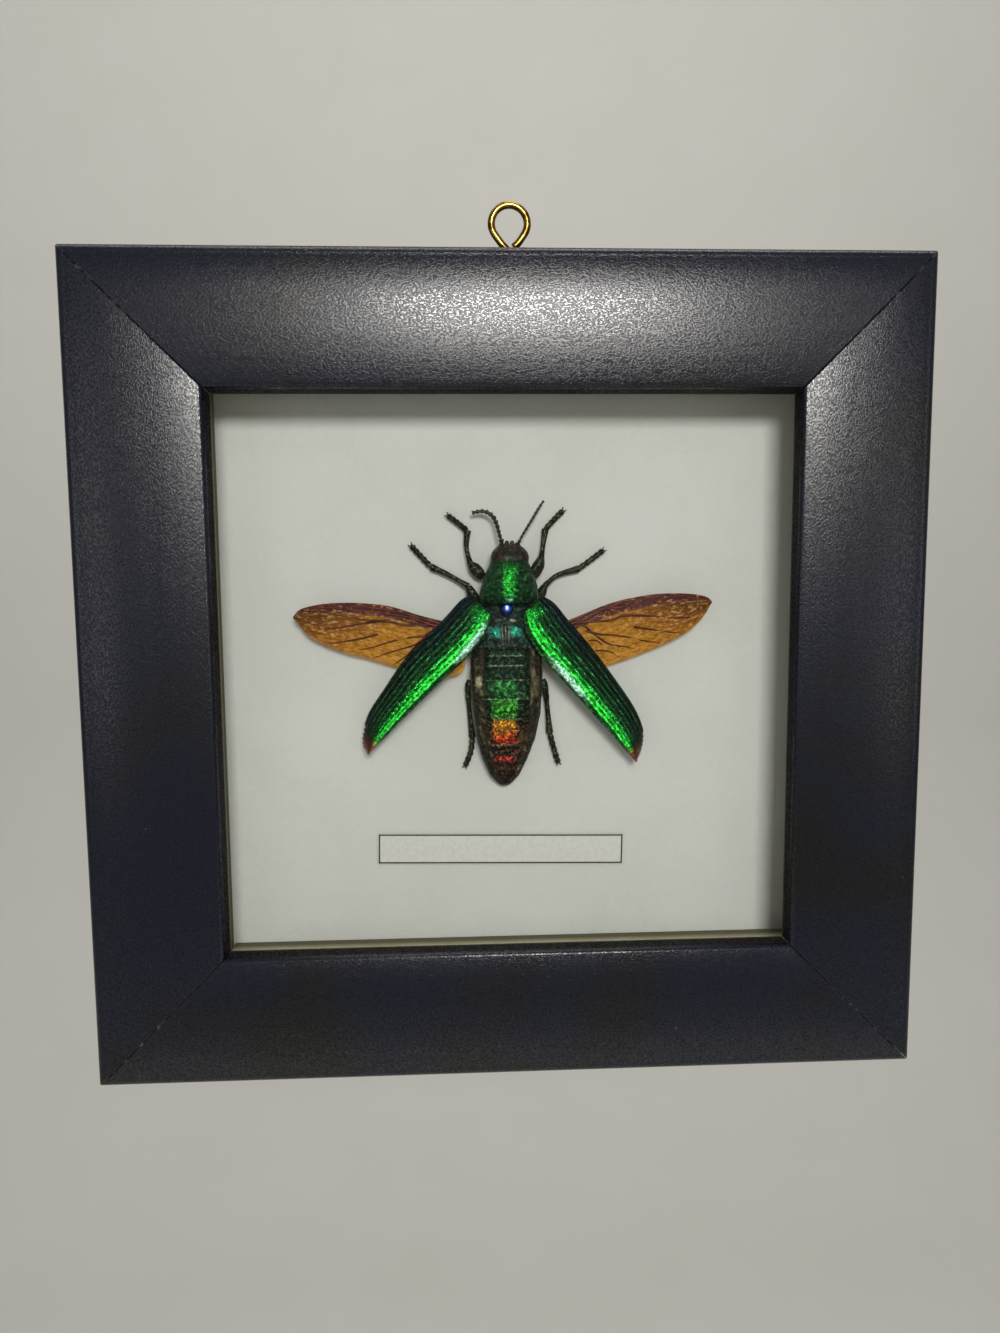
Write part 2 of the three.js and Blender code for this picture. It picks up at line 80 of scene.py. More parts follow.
def put_in_scene(bm, name):
    """Makes an object of a drawn shape, with smooth faces."""
    for face in bm.faces:
        face.smooth = True
    mesh = bpy.data.meshes.new(name)
    bm.to_mesh(mesh)
    bm.free()
    piece = bpy.data.objects.new(name, mesh)
    scene.collection.objects.link(piece)
    return piece


def keep(bm, node, materials, crease):
    """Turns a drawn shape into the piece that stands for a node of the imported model."""
    bmesh.ops.remove_doubles(bm, verts=bm.verts, dist=1e-5)
    bmesh.ops.recalc_face_normals(bm, faces=bm.faces)
    bmesh.ops.transform(bm, matrix=TO_PART, verts=bm.verts)
    piece = put_in_scene(bm, node + "_fine")
    piece.data.set_sharp_from_angle(angle=math.radians(crease))
    for material in materials:
        piece.data.materials.append(material)
    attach(piece, "root")
    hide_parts(node)
    print(piece.name, len(piece.data.polygons), "faces")


# %% [markdown]
# Finishes are node trees. This small helper keeps them short: it adds nodes, plugs sockets or
# plain values into them, and hands back the output socket. `at` is the point being shaded, in the
# same millimetres as the drawing, so a marking can be put where it was measured.

# %% A helper for finishes
def tint(code, alpha=1.0):
    """A colour from its web code, as the linear values that shaders use."""
    parts = [int(code[i:i + 2], 16) / 255 for i in (0, 2, 4)]
    linear = [p / 12.92 if p <= 0.04045 else ((p + 0.055) / 1.055) ** 2.4 for p in parts]
    return (*linear, alpha)


class Finish:
    """A material in the making. at is the point being shaded, in millimetres from the middle of
    the frame, and x, y and z are its parts."""

    def __init__(self, name):
        self.material = bpy.data.materials.new(name)
        self.material.use_nodes = True
        self.tree = self.material.node_tree
        self.tree.nodes.clear()
        raw = self.add("TexCoord").outputs["Object"]
        self.at = self.add("VectorMath", {0: raw, 1: (1000, 1000, 1000), 2: tuple(HANGING_POINT)},
                           operation="MULTIPLY_ADD").outputs[0]
        self.x, self.y, self.z = self.apart(self.at)

    def plug(self, socket, value):
        if isinstance(value, bpy.types.NodeSocket):
            self.tree.links.new(value, socket)
        elif value is not None:
            socket.default_value = value

    def add(self, kind, inputs=(), **settings):
        node = self.tree.nodes.new("ShaderNode" + kind)
        for key, value in settings.items():
            setattr(node, key, value)
        for key, value in dict(inputs).items():
            self.plug(node.inputs[key], value)
        return node

    def calc(self, operation, *values, clamp=False):
        node = self.add("Math", operation=operation, use_clamp=clamp)
        for socket, value in zip(node.inputs, values):
            self.plug(socket, value)
        return node.outputs[0]

    def plus(self, first, second, clamp=False):
        return self.calc("ADD", first, second, clamp=clamp)

    def minus(self, first, second, clamp=False):
        return self.calc("SUBTRACT", first, second, clamp=clamp)

    def times(self, *values):
        """The product of the values, so it is 1 only where all of them are."""
        result = values[0]
        for value in values[1:]:
            result = self.calc("MULTIPLY", result, value)
        return result

    def unsigned(self, value):
        return self.calc("ABSOLUTE", value)

    def apart(self, vector):
        """The x, y and z of a vector."""
        return tuple(self.add("SeparateXYZ", {0: vector}).outputs)

    def attribute(self, name):
        return self.add("Attribute", attribute_name=name).outputs["Fac"]

    def stretched(self, scale):
        return self.add("VectorMath", {0: self.at, 1: scale}, operation="MULTIPLY").outputs[0]

    def noise(self, scale, detail=3.0, roughness=0.5, at=None):
        return self.add("TexNoise", {"Vector": self.at if at is None else at, "Scale": scale,
                                     "Detail": detail, "Roughness": roughness}).outputs[0]

    def cells(self, scale):
        return self.add("TexVoronoi", {"Vector": self.at, "Scale": scale})

    def grains(self, scale):
        """One number from 0 to 1 for each small cell: the single grains of a rough surface."""
        return self.apart(self.cells(scale).outputs["Color"])[0]

    def step(self, value, low, high, start=0.0, end=1.0):
        """A smooth rise from start to end while value goes from low to high."""
        node = self.add("MapRange", interpolation_type="SMOOTHSTEP")
        for key, given in zip(("Value", "From Min", "From Max", "To Min", "To Max"),
                              (value, low, high, start, end)):
            self.plug(node.inputs[key], given)
        return node.outputs["Result"]

    def window(self, value, low, high, soft):
        """1 between low and high, 0 outside, with soft edges."""
        rise = self.step(value, low - soft, low + soft)
        fall = self.step(value, high - soft, high + soft, 1.0, 0.0)
        return self.times(rise, fall)

    def ramp(self, value, stops):
        node = self.add("ValToRGB", {0: value})
        while len(node.color_ramp.elements) < len(stops):
            node.color_ramp.elements.new(0.5)
        for element, (position, colour) in zip(node.color_ramp.elements, stops):
            element.position = position
            element.color = tint(colour)
        return node.outputs[0]

    def mix(self, factor, first, second, blend="MIX"):
        node = self.add("Mix", data_type="RGBA", blend_type=blend)
        values = [tint(v) if isinstance(v, str) else v for v in (first, second)]
        for socket, value in zip((node.inputs[0], node.inputs[6], node.inputs[7]),
                                 (factor, *values)):
            self.plug(socket, value)
        return node.outputs[2]

    def bump(self, height, strength, distance_mm, normal=None):
        node = self.add("Bump", {"Height": height, "Strength": strength,
                                 "Distance": distance_mm / 1000})
        self.plug(node.inputs["Normal"], normal)
        return node.outputs[0]

    def surface(self, colour, roughness, metallic=0.0, normal=None, gloss=0.5):
        return self.add("BsdfPrincipled", {
            "Base Color": colour, "Roughness": roughness, "Metallic": metallic,
            "Normal": normal, "Specular IOR Level": gloss}).outputs[0]

    def done(self, shader):
        self.add("OutputMaterial", {"Surface": shader})
        return self.material


# %% [markdown]
# The camera stands at the photograph's viewing point: a little over a hand's width in front of
# the glass, slightly left of the middle and above it, and rolled a little. Its place and its
# three directions come from fitting the frame's corners and the label in the picture.

# %% Camera
CAMERA_AT = Vector((-9.61, -173.30, 19.94))
CAMERA_RIGHT = Vector((0.99870, -0.05044, -0.00746))
CAMERA_UP = Vector((0.01290, 0.10846, 0.99402))
CAMERA_FORWARD = Vector((0.04933, 0.99282, -0.10897))

lens = bpy.data.cameras.new("camera")
lens.lens = 27.0
lens.sensor_width = 36.0
lens.clip_start = 0.005
camera = bpy.data.objects.new("camera", lens)
scene.collection.objects.link(camera)
turn = Matrix((CAMERA_RIGHT, CAMERA_UP, -CAMERA_FORWARD)).transposed().to_4x4()
camera.matrix_world = Matrix.Translation(TO_PART @ CAMERA_AT) @ turn
scene.camera = camera
print("camera at", tuple(round(value, 4) for value in camera.location))

# %% [markdown]
# The stage is one pale sheet that runs from the floor up behind the frame, as in a photo studio.
# An edge is pulled back along the floor, spun up round a quarter turn and pulled up again.

# %% Floor and backdrop
FLOOR_Z = -0.46
BACKDROP_Y = 0.62
COVE_RADIUS = 0.28
SHEET_HALF_WIDTH = 6.0
SHEET_FRONT_Y = -1.6
SHEET_RISE = 1.6


def studio_sheet():
    bm = bmesh.new()
    low = [bm.verts.new((side * SHEET_HALF_WIDTH, SHEET_FRONT_Y, FLOOR_Z)) for side in (-1, 1)]
    edges = [bm.edges.new(low)]

    def pulled(edges, move):
        made = bmesh.ops.extrude_edge_only(bm, edges=edges)["geom"]
        verts = [item for item in made if isinstance(item, bmesh.types.BMVert)]
        bmesh.ops.translate(bm, verts=verts, vec=move)
        return [item for item in made if isinstance(item, bmesh.types.BMEdge)
                and all(v in verts for v in item.verts)]

    edges = pulled(edges, (0, BACKDROP_Y - COVE_RADIUS - SHEET_FRONT_Y, 0))
    centre = (0, BACKDROP_Y - COVE_RADIUS, FLOOR_Z + COVE_RADIUS)
    verts = list({v for edge in edges for v in edge.verts})
    spun = bmesh.ops.spin(bm, geom=verts + edges, cent=centre, axis=(1, 0, 0),
                          angle=math.pi / 2, steps=20)
    edges = [item for item in spun["geom_last"] if isinstance(item, bmesh.types.BMEdge)]
    pulled(edges, (0, 0, SHEET_RISE))
    bmesh.ops.recalc_face_normals(bm, faces=bm.faces)
    return put_in_scene(bm, "studio_sheet")


paper = Finish("studio_paper")
paper_tone = paper.mix(paper.noise(0.02, 2), "d9d9d5", "d4d4cf")
floor = studio_sheet()
floor.data.materials.append(paper.done(paper.surface(paper_tone, 0.95)))

# %% [markdown]
# A soft lamp stands in front, above and to the right. Its mirror image falls on the top rail and
# misses the glass, which is what gives the rail its wide gleam. Two large side lamps at the
# frame's own height and one overhead fill the rest, another lights the backdrop, and the world
# is a dim pale grey, so that the metallic shell stays dark wherever it doesn't face a lamp.

# %% Lights
LAMP_COLOUR = (1.0, 0.97, 0.92)
WORLD_COLOUR = (0.93, 0.92, 0.88, 1.0)
WORLD_STRENGTH = 0.23


def lamp(name, at, size, power, aim=(0, 0, 0)):
    """A soft rectangular lamp; places are millimetres from the middle of the frame."""
    data = bpy.data.lights.new(name, "AREA")
    data.shape = "RECTANGLE"
    data.size, data.size_y = (value / 1000 for value in size)
    data.energy = power
    data.color = LAMP_COLOUR
    light = bpy.data.objects.new(name, data)
    place = TO_PART @ Vector(at)
    facing = (TO_PART @ Vector(aim)) - place
    turned = facing.to_track_quat("-Z", "Y").to_matrix().to_4x4()
    light.matrix_world = Matrix.Translation(place) @ turned
    scene.collection.objects.link(light)


lamp("key", (45, -611, 208), (190, 124), 2.95)
lamp("side_left", (-680, -900, 40), (460, 460), 0.6)
lamp("side_right", (700, -900, 40), (460, 460), 0.6)
lamp("overhead", (40, -60, 620), (500, 300), 0.9)
lamp("backdrop", (0, 90, 760), (1200, 250), 2.4, aim=(0, 640, -60))

world = bpy.data.worlds.new("studio")
world.use_nodes = True
background = world.node_tree.nodes["Background"]
background.inputs["Color"].default_value = WORLD_COLOUR
background.inputs["Strength"].default_value = WORLD_STRENGTH
scene.world = world
scene.view_settings.view_transform = "Standard"

# %% [markdown]
# The rails are lengths of one wooden moulding, primed and sprayed satin black. The wood's grain
# stays as a fine stipple that runs along each rail and breaks up the gloss. The black leans to
# navy in places, and the sight edge is browner and duller. The mitres have been filled and rubbed,
# so thin pale scratches follow them towards the corners.

# %% Black paint
HALF_WIDTH = 70.0
HALF_HEIGHT = 68.7
SIGHT_EDGE = 22.0


def black_paint():
    f = Finish("black_paint")
    broad = f.noise(0.035, 3)
    colour = f.mix(f.step(broad, 0.32, 0.54), "07080c", "060a1c")
    depth_off = f.minus(f.unsigned(f.z), f.unsigned(f.x))
    off_mitre = f.unsigned(f.plus(depth_off, HALF_WIDTH - HALF_HEIGHT))
    thin = f.step(f.plus(off_mitre, f.times(f.noise(0.5, 2), 0.5)), 0.28, 0.52, 1.0, 0.0)
    broken = f.step(f.noise(0.9, 4), 0.5, 0.6)
    outer = f.step(f.unsigned(f.x), 52, 62)
    scratch = f.times(thin, broken, outer)
    specks = f.step(f.cells(0.16).outputs["Distance"], 0.0, 0.035, 0.7, 0.0)
    colour = f.mix(f.plus(f.times(scratch, 0.55), specks, clamp=True), colour, "8f8d86")
    inwards = f.calc("MINIMUM", f.minus(HALF_WIDTH, f.unsigned(f.x)),
                     f.minus(HALF_HEIGHT, f.unsigned(f.z)))
    sight = f.step(inwards, SIGHT_EDGE - 0.06, SIGHT_EDGE + 0.06)
    colour = f.mix(sight, colour, "0b0705")
    level = f.step(f.plus(depth_off, HALF_WIDTH - HALF_HEIGHT), -0.05, 0.05)
    grain_level = f.noise(4.2, 2, 0.6, at=f.stretched((0.6, 1, 1)))
    grain_upright = f.noise(4.2, 2, 0.6, at=f.stretched((1, 1, 0.6)))
    grain = f.plus(f.times(level, grain_level), f.times(f.minus(1.0, level), grain_upright))
    stipple = f.step(grain, 0.38, 0.62)
    roughness = f.plus(f.times(stipple, 0.11), f.calc("MULTIPLY_ADD", sight, 0.35, 0.182))
    gloss = f.plus(f.times(stipple, -0.36), f.calc("MULTIPLY_ADD", sight, -0.25, 0.7), clamp=True)
    normal = f.bump(stipple, 0.5, 0.022)
    return f.done(f.surface(colour, roughness, normal=normal, gloss=gloss))


BLACK_PAINT = black_paint()

# %% [markdown]
# A rail starts as the moulding's section: a small rounded shoulder, a broad face that swells to
# its crest near the outer edge, a round arris, the sight edge and a lip over the glass. The
# section is extruded, both ends are cut off at 45 degrees with a plane, and the sharp arrises
# get a tiny round, as paint gives them.

# %% Rails
FRAME_DEPTH = 22.0
RAIL_ROUND = 0.14
MITRE_GAP = 0.09
SPARE_END = 1


def bend(start, pull, end, steps=12):
    """Points of a simple curve from start to end, leaving out the start."""
    points = []
    for i in range(1, steps + 1):
        t = i / steps
        weights = ((1 - t) ** 2, 2 * t * (1 - t), t * t)
        points.append(tuple(sum(w * p[k] for w, p in zip(weights, (start, pull, end)))
                            for k in (0, 1)))
    return points


MOULDING = [(0, 22), (0, 2.4), *bend((0, 2.4), (0.1, 0.75), (1.4, 0.75), 8),
            *bend((1.4, 0.75), (4.5, 0), (9, 0)), *bend((9, 0), (16.2, 0), (21.25, 0.92)),
            *bend((21.25, 0.92), (21.75, 1.02), (21.95, 1.5), 6), (22.6, 2.6), (22.6, 3.2),
            (17, 3.2), (17, 22)]


def capped_cut(bm, point, outwards):
    """Cuts the shape with a plane, throws away what lies beyond it and closes the cut."""
    geometry = bm.verts[:] + bm.edges[:] + bm.faces[:]
    cut = bmesh.ops.bisect_plane(bm, geom=geometry, plane_co=point, plane_no=outwards,
                                 clear_outer=True)["geom_cut"]
    edges = [item for item in cut if isinstance(item, bmesh.types.BMEdge)]
    bmesh.ops.contextual_create(bm, geom=edges)


def sharp_edges(bm):
    limit = math.radians(35)
    return [e for e in bm.edges if len(e.link_faces) == 2 and e.calc_face_angle(0) > limit]


def rail(node, length, reach, quarter_turns):
    """A rail drawn as the top one, then turned into its place."""
    bm = new_shape()
    start = -length / 2 - SPARE_END
    verts = [bm.verts.new((start, depth - FRAME_DEPTH / 2, reach - inwards))
             for inwards, depth in MOULDING]
    face = bmesh.ops.contextual_create(bm, geom=verts)["faces"]
    pulled = bmesh.ops.extrude_face_region(bm, geom=face)["geom"]
    far = [item for item in pulled if isinstance(item, bmesh.types.BMVert)]
    bmesh.ops.translate(bm, verts=far, vec=(length + 2 * SPARE_END, 0, 0))
    half_gap = MITRE_GAP / 2 * math.sqrt(2)
    for side in (-1, 1):
        capped_cut(bm, (side * (length / 2 - half_gap), 0, reach), (side, 0, -1))
    bmesh.ops.bevel(bm, geom=sharp_edges(bm), offset=RAIL_ROUND, segments=2, profile=0.5,
                    affect="EDGES", clamp_overlap=True, material=-1)
    turn = Matrix.Rotation(quarter_turns * math.pi / 2, 4, "Y")
    bmesh.ops.transform(bm, matrix=turn, verts=bm.verts)
    keep(bm, node, [BLACK_PAINT], crease=20)


rail("rail_top", 2 * HALF_WIDTH, HALF_HEIGHT, 0)
rail("rail_right", 2 * HALF_HEIGHT, HALF_WIDTH, 1)
rail("rail_bottom", 2 * HALF_WIDTH, HALF_HEIGHT, 2)
rail("rail_left", 2 * HALF_HEIGHT, HALF_WIDTH, 3)

# %% [markdown]
# The case is a stack of flat things: the pane, four strips of cream card on edge that keep the
# pane off the insect, the pale mount card, and the brown board with its steel points. Glass lets
# light straight through and only gains a gloss towards a grazing view, so the card stays clear.
# Card, strips and board share one function, because they are all pressed fibre.

# %% Finishes of the case
def clear_glass():
    """Mostly let through, with a thin gloss that grows towards the edges of view."""
    f = Finish("clear_glass")
    smudge = f.step(f.noise(0.05, 4), 0.45, 0.75, 0.0, 0.015)
    gloss = f.add("BsdfGlossy", {"Color": (1, 1, 1, 1), "Roughness": smudge}).outputs[0]
    through = f.add("BsdfTransparent", {"Color": (0.985, 0.995, 0.99, 1)}).outputs[0]
    turned_away = f.add("LayerWeight", {"Blend": 0.5}).outputs["Facing"]
    share = f.calc("MULTIPLY_ADD", f.calc("POWER", turned_away, 5.0), 0.5, 0.008)
    return f.done(f.add("MixShader", {0: share, 1: through, 2: gloss}).outputs[0])


def card(name, light, dark, tooth=3.0, roughness=0.92, fibre=(1, 1, 1), shade_at_card=None):
    """Card or paper: a small change of tone and a fine tooth. shade_at_card is the darker tone
    painted along a strip's rear edge, as shade where it meets the card."""
    f = Finish(name)
    tone = f.plus(f.times(f.noise(0.06, 3), 0.6),
                  f.times(f.noise(1.5, 4, at=f.stretched(fibre)), 0.4))
    colour = f.mix(f.step(tone, 0.38, 0.62), light, dark)
    if shade_at_card:
        colour = f.mix(f.step(f.y, -1.6, 1.4), colour, shade_at_card)
    normal = f.bump(f.noise(tooth, 4, 0.7), 0.5, 0.06)
    return f.done(f.surface(colour, roughness, normal=normal))


def rolled_steel():
    f = Finish("rolled_steel")
    grain = f.noise(2.0, 3, at=f.stretched((0.4, 1, 6)))
    colour = f.mix(grain, "8d9094", "6e6f70")
    return f.done(f.surface(colour, f.plus(f.times(grain, 0.2), 0.28), 1.0))


# %% [markdown]
# Each flat thing is a cube with a small bevel, as a cutter leaves it, set between the corners of
# its own node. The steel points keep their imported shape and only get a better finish.

# %% Slabs of the case
def cut_flat(node, matrix, material, round_mm):
    """A cube that the matrix stretches and places, with a small bevel on every edge."""
    bm = new_shape()
    bmesh.ops.create_cube(bm, size=1, matrix=matrix)
    bmesh.ops.bevel(bm, geom=bm.edges[:], offset=round_mm, segments=2, profile=0.5,
                    affect="EDGES", material=-1)
    keep(bm, node, [material], crease=20)


def slab(node, material, round_mm):
    """A flat piece that fills the node's box."""
    low, high = (TO_PART.inverted() @ Vector(corner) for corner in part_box(node))
    size = Matrix.Diagonal((*(high - low), 1))
    cut_flat(node, Matrix.Translation((high + low) / 2) @ size, material, round_mm)


SIDES = ("top", "bottom", "left", "right")
FIBRE_BOARD = card("fibre_board", "7d5f40", "5a4029", 2.0, 0.9, (1, 1, 6))
# The strips are painted darker along their rear edge, as shade where they meet the card.
SPACER_CARD = card("spacer_card", "cfc7ac", "b9b091", shade_at_card="5b553f")
slab("glass", clear_glass(), 0.15)
slab("mount_card", card("mount_card", "c9cac7", "c5c5c1"), 0.1)
slab("back_board", FIBRE_BOARD, 0.2)
for side in SIDES:
    slab("spacer_" + side, SPACER_CARD, 0.08)

POINT_STEEL = rolled_steel()
for side in SIDES:
    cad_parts["point_" + side].material_slots[0].material = POINT_STEEL

# %% [markdown]
# Most of the insect, and the brass eye, are skins over rings. A sphere's rings are moved one by
# one to where a section function puts them, so the skin is closed from the start, and each point
# keeps two numbers, how far along and how far across it lies, that the finishes can read.

# %% Skins, curves and limbs
def skin(bm, around, rows, section_at, slot_index=0):
    """A closed skin with one ring for each value in rows, which run from 0 to 1."""
    grid = bmesh.ops.create_uvsphere(bm, u_segments=around, v_segments=len(rows) + 1, radius=1)
    along_layer = bm.verts.layers.float["along"]
    across_layer = bm.verts.layers.float["across"]
    for vert in grid["verts"]:
        polar = math.acos(max(-1.0, min(1.0, vert.co.z)))
        row = round(polar / math.pi * (len(rows) + 1))
        at_pole = row in (0, len(rows) + 1)
        t = rows[min(max(row, 1), len(rows)) - 1]
        angle = None if at_pole else math.atan2(vert.co.y, vert.co.x)
        vert[along_layer] = t
        vert[across_layer] = 0.0 if at_pole else math.cos(angle)
        vert.co = section_at(t, angle)
    for face in {face for vert in grid["verts"] for face in vert.link_faces}:
        face.material_index = slot_index


def even(count):
    return [i / (count - 1) for i in range(count)]


def blend(values, t):
    """A smooth run through evenly spaced values."""
    at = t * (len(values) - 1)
    i = min(int(at), len(values) - 2)
    part = at - i
    ease = part * part * (3 - 2 * part)
    return values[i] + (values[i + 1] - values[i]) * (0.5 * part + 0.5 * ease)


def curve(points, steps=16):
    """A smooth curve through the points, as a function of the share of its length."""
    points = [Vector(point) for point in points]
    ends = [points[0] * 2 - points[1], *points, points[-1] * 2 - points[-2]]
    dense = []
    for a, b, c, d in zip(ends, ends[1:], ends[2:], ends[3:]):
        gaps = [math.sqrt((q - p).length) or 1e-6 for p, q in ((a, b), (b, c), (c, d))]
        start = ((b - a) / gaps[0] - (c - a) / (gaps[0] + gaps[1]) + (c - b) / gaps[1]) * gaps[1]
        end = ((c - b) / gaps[1] - (d - b) / (gaps[1] + gaps[2]) + (d - c) / gaps[2]) * gaps[1]
        for i in range(steps):
            t = i / steps
            dense.append(b + start * t + (3 * (c - b) - 2 * start - end) * t ** 2
                         + (2 * (b - c) + start + end) * t ** 3)
    dense.append(points[-1])
    marks = [0.0]
    for p, q in zip(dense, dense[1:]):
        marks.append(marks[-1] + (q - p).length)

    def at(t):
        want = max(0.0, min(1.0, t)) * marks[-1]
        low, high = 0, len(marks) - 1
        while high - low > 1:
            i = (low + high) // 2
            low, high = (i, high) if marks[i] <= want else (low, i)
        part = (want - marks[low]) / ((marks[high] - marks[low]) or 1e-9)
        return dense[low].lerp(dense[high], part)

    return at


def tube(bm, path, radius_at, around, rings, flat=1.0, slot_index=0, step=0.01):
    """A round skin along a path. flat thins it towards the card, step is the share of the path
    over which its direction is read."""
    def section(t, angle):
        point = path(t)
        if angle is None:
            return point
        tangent = path(min(t + step, 1)) - path(max(t - step, 0))
        side = tangent.cross(Vector((0, 1, 0))).normalized()
        lift = side.cross(tangent).normalized()
        return point + radius_at(t) * (side * math.cos(angle) + lift * flat * math.sin(angle))

    skin(bm, around, even(rings), section, slot_index)


def limb(bm, points, radii, around=14, rings=24, flat=1.0, slot_index=0, profile=None):
    """A round limb along [x, z, height] points."""
    path = curve([spot(x, z, height) for x, z, height in points])

    def radius_at(t):
        return blend(radii, t) * (profile(t) if profile else 1)

    tube(bm, path, radius_at, around, rings, flat, slot_index)


def measured(points):
    """Points as limb takes them: x, z and height over the card."""
    return [[p.x, p.z, CARD_FACE_Y - p.y] for p in points]


def ball(bm, x, z, height, size, steps, slot_index=0):
    place = Matrix.Translation(spot(x, z, height)) @ Matrix.Diagonal((*size, 1))
    made = bmesh.ops.create_uvsphere(bm, u_segments=steps, v_segments=steps // 2 + 2, radius=1,
                                     matrix=place)
    for face in {face for vert in made["verts"] for face in vert.link_faces}:
        face.material_index = slot_index


# %% [markdown]
# The screw eye is one brass-plated wire. The shank comes up out of the top rail, the wire runs
# once round and ends beside the shank. Handling and age have left darker, browner patches.

# %% Screw eye
WIRE_RADIUS = 0.62
RING_RADIUS = 3.0
RING_AT = Vector((1.1, 0.0, 75.1))
SHANK_IN_WOOD = 7.0


def eye_brass():
    f = Finish("eye_brass")
    tarnish = f.step(f.noise(0.45, 3), 0.4, 0.62)
    colour = f.mix(tarnish, "a98d45", "5c3c16")
    roughness = f.plus(f.times(tarnish, 0.14), 0.13)
    normal = f.bump(f.noise(1.6, 2), 0.1, 0.04)
    return f.done(f.surface(colour, roughness, 1.0, normal))


def screw_eye():
    foot, neck = (HALF_HEIGHT - SHANK_IN_WOOD - RING_AT.z) / RING_RADIUS, -1.7
    points = [(0, foot), (0, (foot + neck) / 2), (0, neck), (-0.12, -1.42), (-0.42, -1.1)]
    for i in range(25):
        angle = math.radians(215 - 250 * i / 24)
        points.append((math.cos(angle), math.sin(angle)))
    points += [(0.42, -1.1), (0.2, -1.26)]
    path = curve([RING_AT + RING_RADIUS * Vector((x, 0, z)) for x, z in points])

    def radius_at(t):
        return WIRE_RADIUS * min(1.0, 0.75 + (1 - t) * 40)

    bm = new_shape()
    tube(bm, path, radius_at, 20, 140, step=0.003)
    keep(bm, "screw_eye", [eye_brass()], crease=50)


screw_eye()

# %% [markdown]
# The label is a strip of smooth paper with a thin ruled border, glued on a little crooked. Inside
# the border it is bare. The border is only ink, so it is drawn in the finish, from the label's
# own turned coordinates.

# %% Label
LABEL_SIZE = (44.4, 0.25, 5.6)
LABEL_GLUE = 0.3
LABEL_AT = spot(-0.9, -32.5, LABEL_GLUE + LABEL_SIZE[1] / 2)
LABEL_TURN = math.radians(1.2)
LABEL_ROUND = 0.04
RULE_HALF = (21.9, 2.55)
RULE_WIDTH = 0.26


def label_paper():
    f = Finish("label_paper")
    turned = f.add("Mapping",
                   {"Vector": f.at, "Location": tuple(LABEL_AT), "Rotation": (0, LABEL_TURN, 0)},
                   vector_type="TEXTURE").outputs[0]
    along, _, up = f.apart(turned)
    off = f.unsigned(f.calc("MAXIMUM", f.minus(f.unsigned(along), RULE_HALF[0]),
                            f.minus(f.unsigned(up), RULE_HALF[1])))
    line = f.step(off, RULE_WIDTH * 0.35, RULE_WIDTH * 0.75, 1.0, 0.0)
    paper = f.mix(f.step(f.noise(1.2, 4), 0.4, 0.6), "cccbc6", "c6c5bf")
    colour = f.mix(line, paper, "34363a")
    return f.done(f.surface(colour, 0.8, normal=f.bump(f.noise(6, 4), 0.15, 0.03)))


LABEL_PLACE = (Matrix.Translation(LABEL_AT) @ Matrix.Rotation(LABEL_TURN, 4, "Y")
               @ Matrix.Diagonal((*LABEL_SIZE, 1)))
cut_flat("label", LABEL_PLACE, label_paper(), LABEL_ROUND)

# %% [markdown]
# The insect's shell gets its colour from its own fine layers, so it behaves like tinted metal:
# dark where nothing shines into it, brilliant where a lamp does. The surface is finely pitted, and
# single grains are also painted bright as flashes of light or dark as shade, which breaks the
# gleam into grains. One function makes that body of the finish, and each part brings its own
# colours.

# %% Shell finish
def shell(f, colour, metallic=0.85, roughness=0.3, depth=0.5, spark=0.5, gloss=0.3, fine=2.6,
          glint=(0.02, 0.07, 0.03, 1.0)):
    """Pitted metallic shell with painted light on single grains. spark is how strongly single
    grains are painted bright as flashes or dark as shade, fine is the number of grains to a
    millimetre and glint is the painted light that every bright grain adds."""
    rough_ground = f.noise(fine * 0.7, 4, 0.75)
    grain = f.plus(f.times(f.grains(fine), 0.36), f.times(f.grains(fine * 2.3), 0.28))
    tone = f.plus(grain, f.times(f.step(rough_ground, 0.36, 0.64), 0.36))
    normal = f.bump(f.plus(tone, rough_ground), depth, 0.13)
    # Painted shade darkens some grains, and painted flashes of light brighten others.
    shade = f.times(f.step(tone, 0.28, 0.48, 0.85, 0.0), spark)
    flash = f.times(f.step(tone, 0.54, 0.76), spark)
    lit = f.mix(1.0, f.mix(1.0, colour, (4.5, 4.2, 3.6, 1.0), "MULTIPLY"), glint, "ADD")
    colour = f.mix(flash, f.mix(shade, colour, (0.0, 0.0, 0.0, 1.0)), lit)
    rough = f.plus(f.times(tone, 0.14), roughness - 0.07)
    return f.surface(colour, rough, metallic, normal, gloss=gloss)


# %% [markdown]
# A body segment is a skin whose rings are squarish ovals: stations list z, the middle, the half
# width and the lowest and highest point over the card. The pronotum is the green shield behind the
# head, coarsely pitted, with a painted highlight along a strip near its middle and a small painted
# glint near its rear edge.

# %% Pronotum
def segment(bm, stations, around, rows, squareness, shape):
    """shape(t, x share, upper) gives extra height in millimetres and a share of the radius."""
    columns = list(zip(*stations))
    power = 2 / squareness

    def section(t, angle):
        z, x, half, low, high = (blend(column, t) for column in columns)
        middle = spot(x, z, (low + high) / 2)
        if angle is None:
            return middle
        c, s = math.cos(angle), math.sin(angle)
        share = math.copysign(abs(c) ** power, c)
        lift = math.copysign(abs(s) ** power, s)
        raise_mm, scale = shape(t, share, s)
        return middle + Vector((half * scale * share,
                                -(high - low) / 2 * scale * lift - raise_mm, 0))

    skin(bm, around, rows, section)


def hump(value, centre, width):
    return math.exp(-((value - centre) / width) ** 2)


PRONOTUM_STATIONS = [
    [19.3, 0.7, 3.2, 1.3, 6.1], [18.4, 0.7, 3.55, 1.0, 6.9], [16.8, 0.65, 4.3, 0.8, 7.7],
    [15.0, 0.6, 4.85, 0.8, 8.0], [13.4, 0.55, 5.1, 0.8, 7.8], [12.0, 0.5, 5.0, 1.0, 7.0],
]


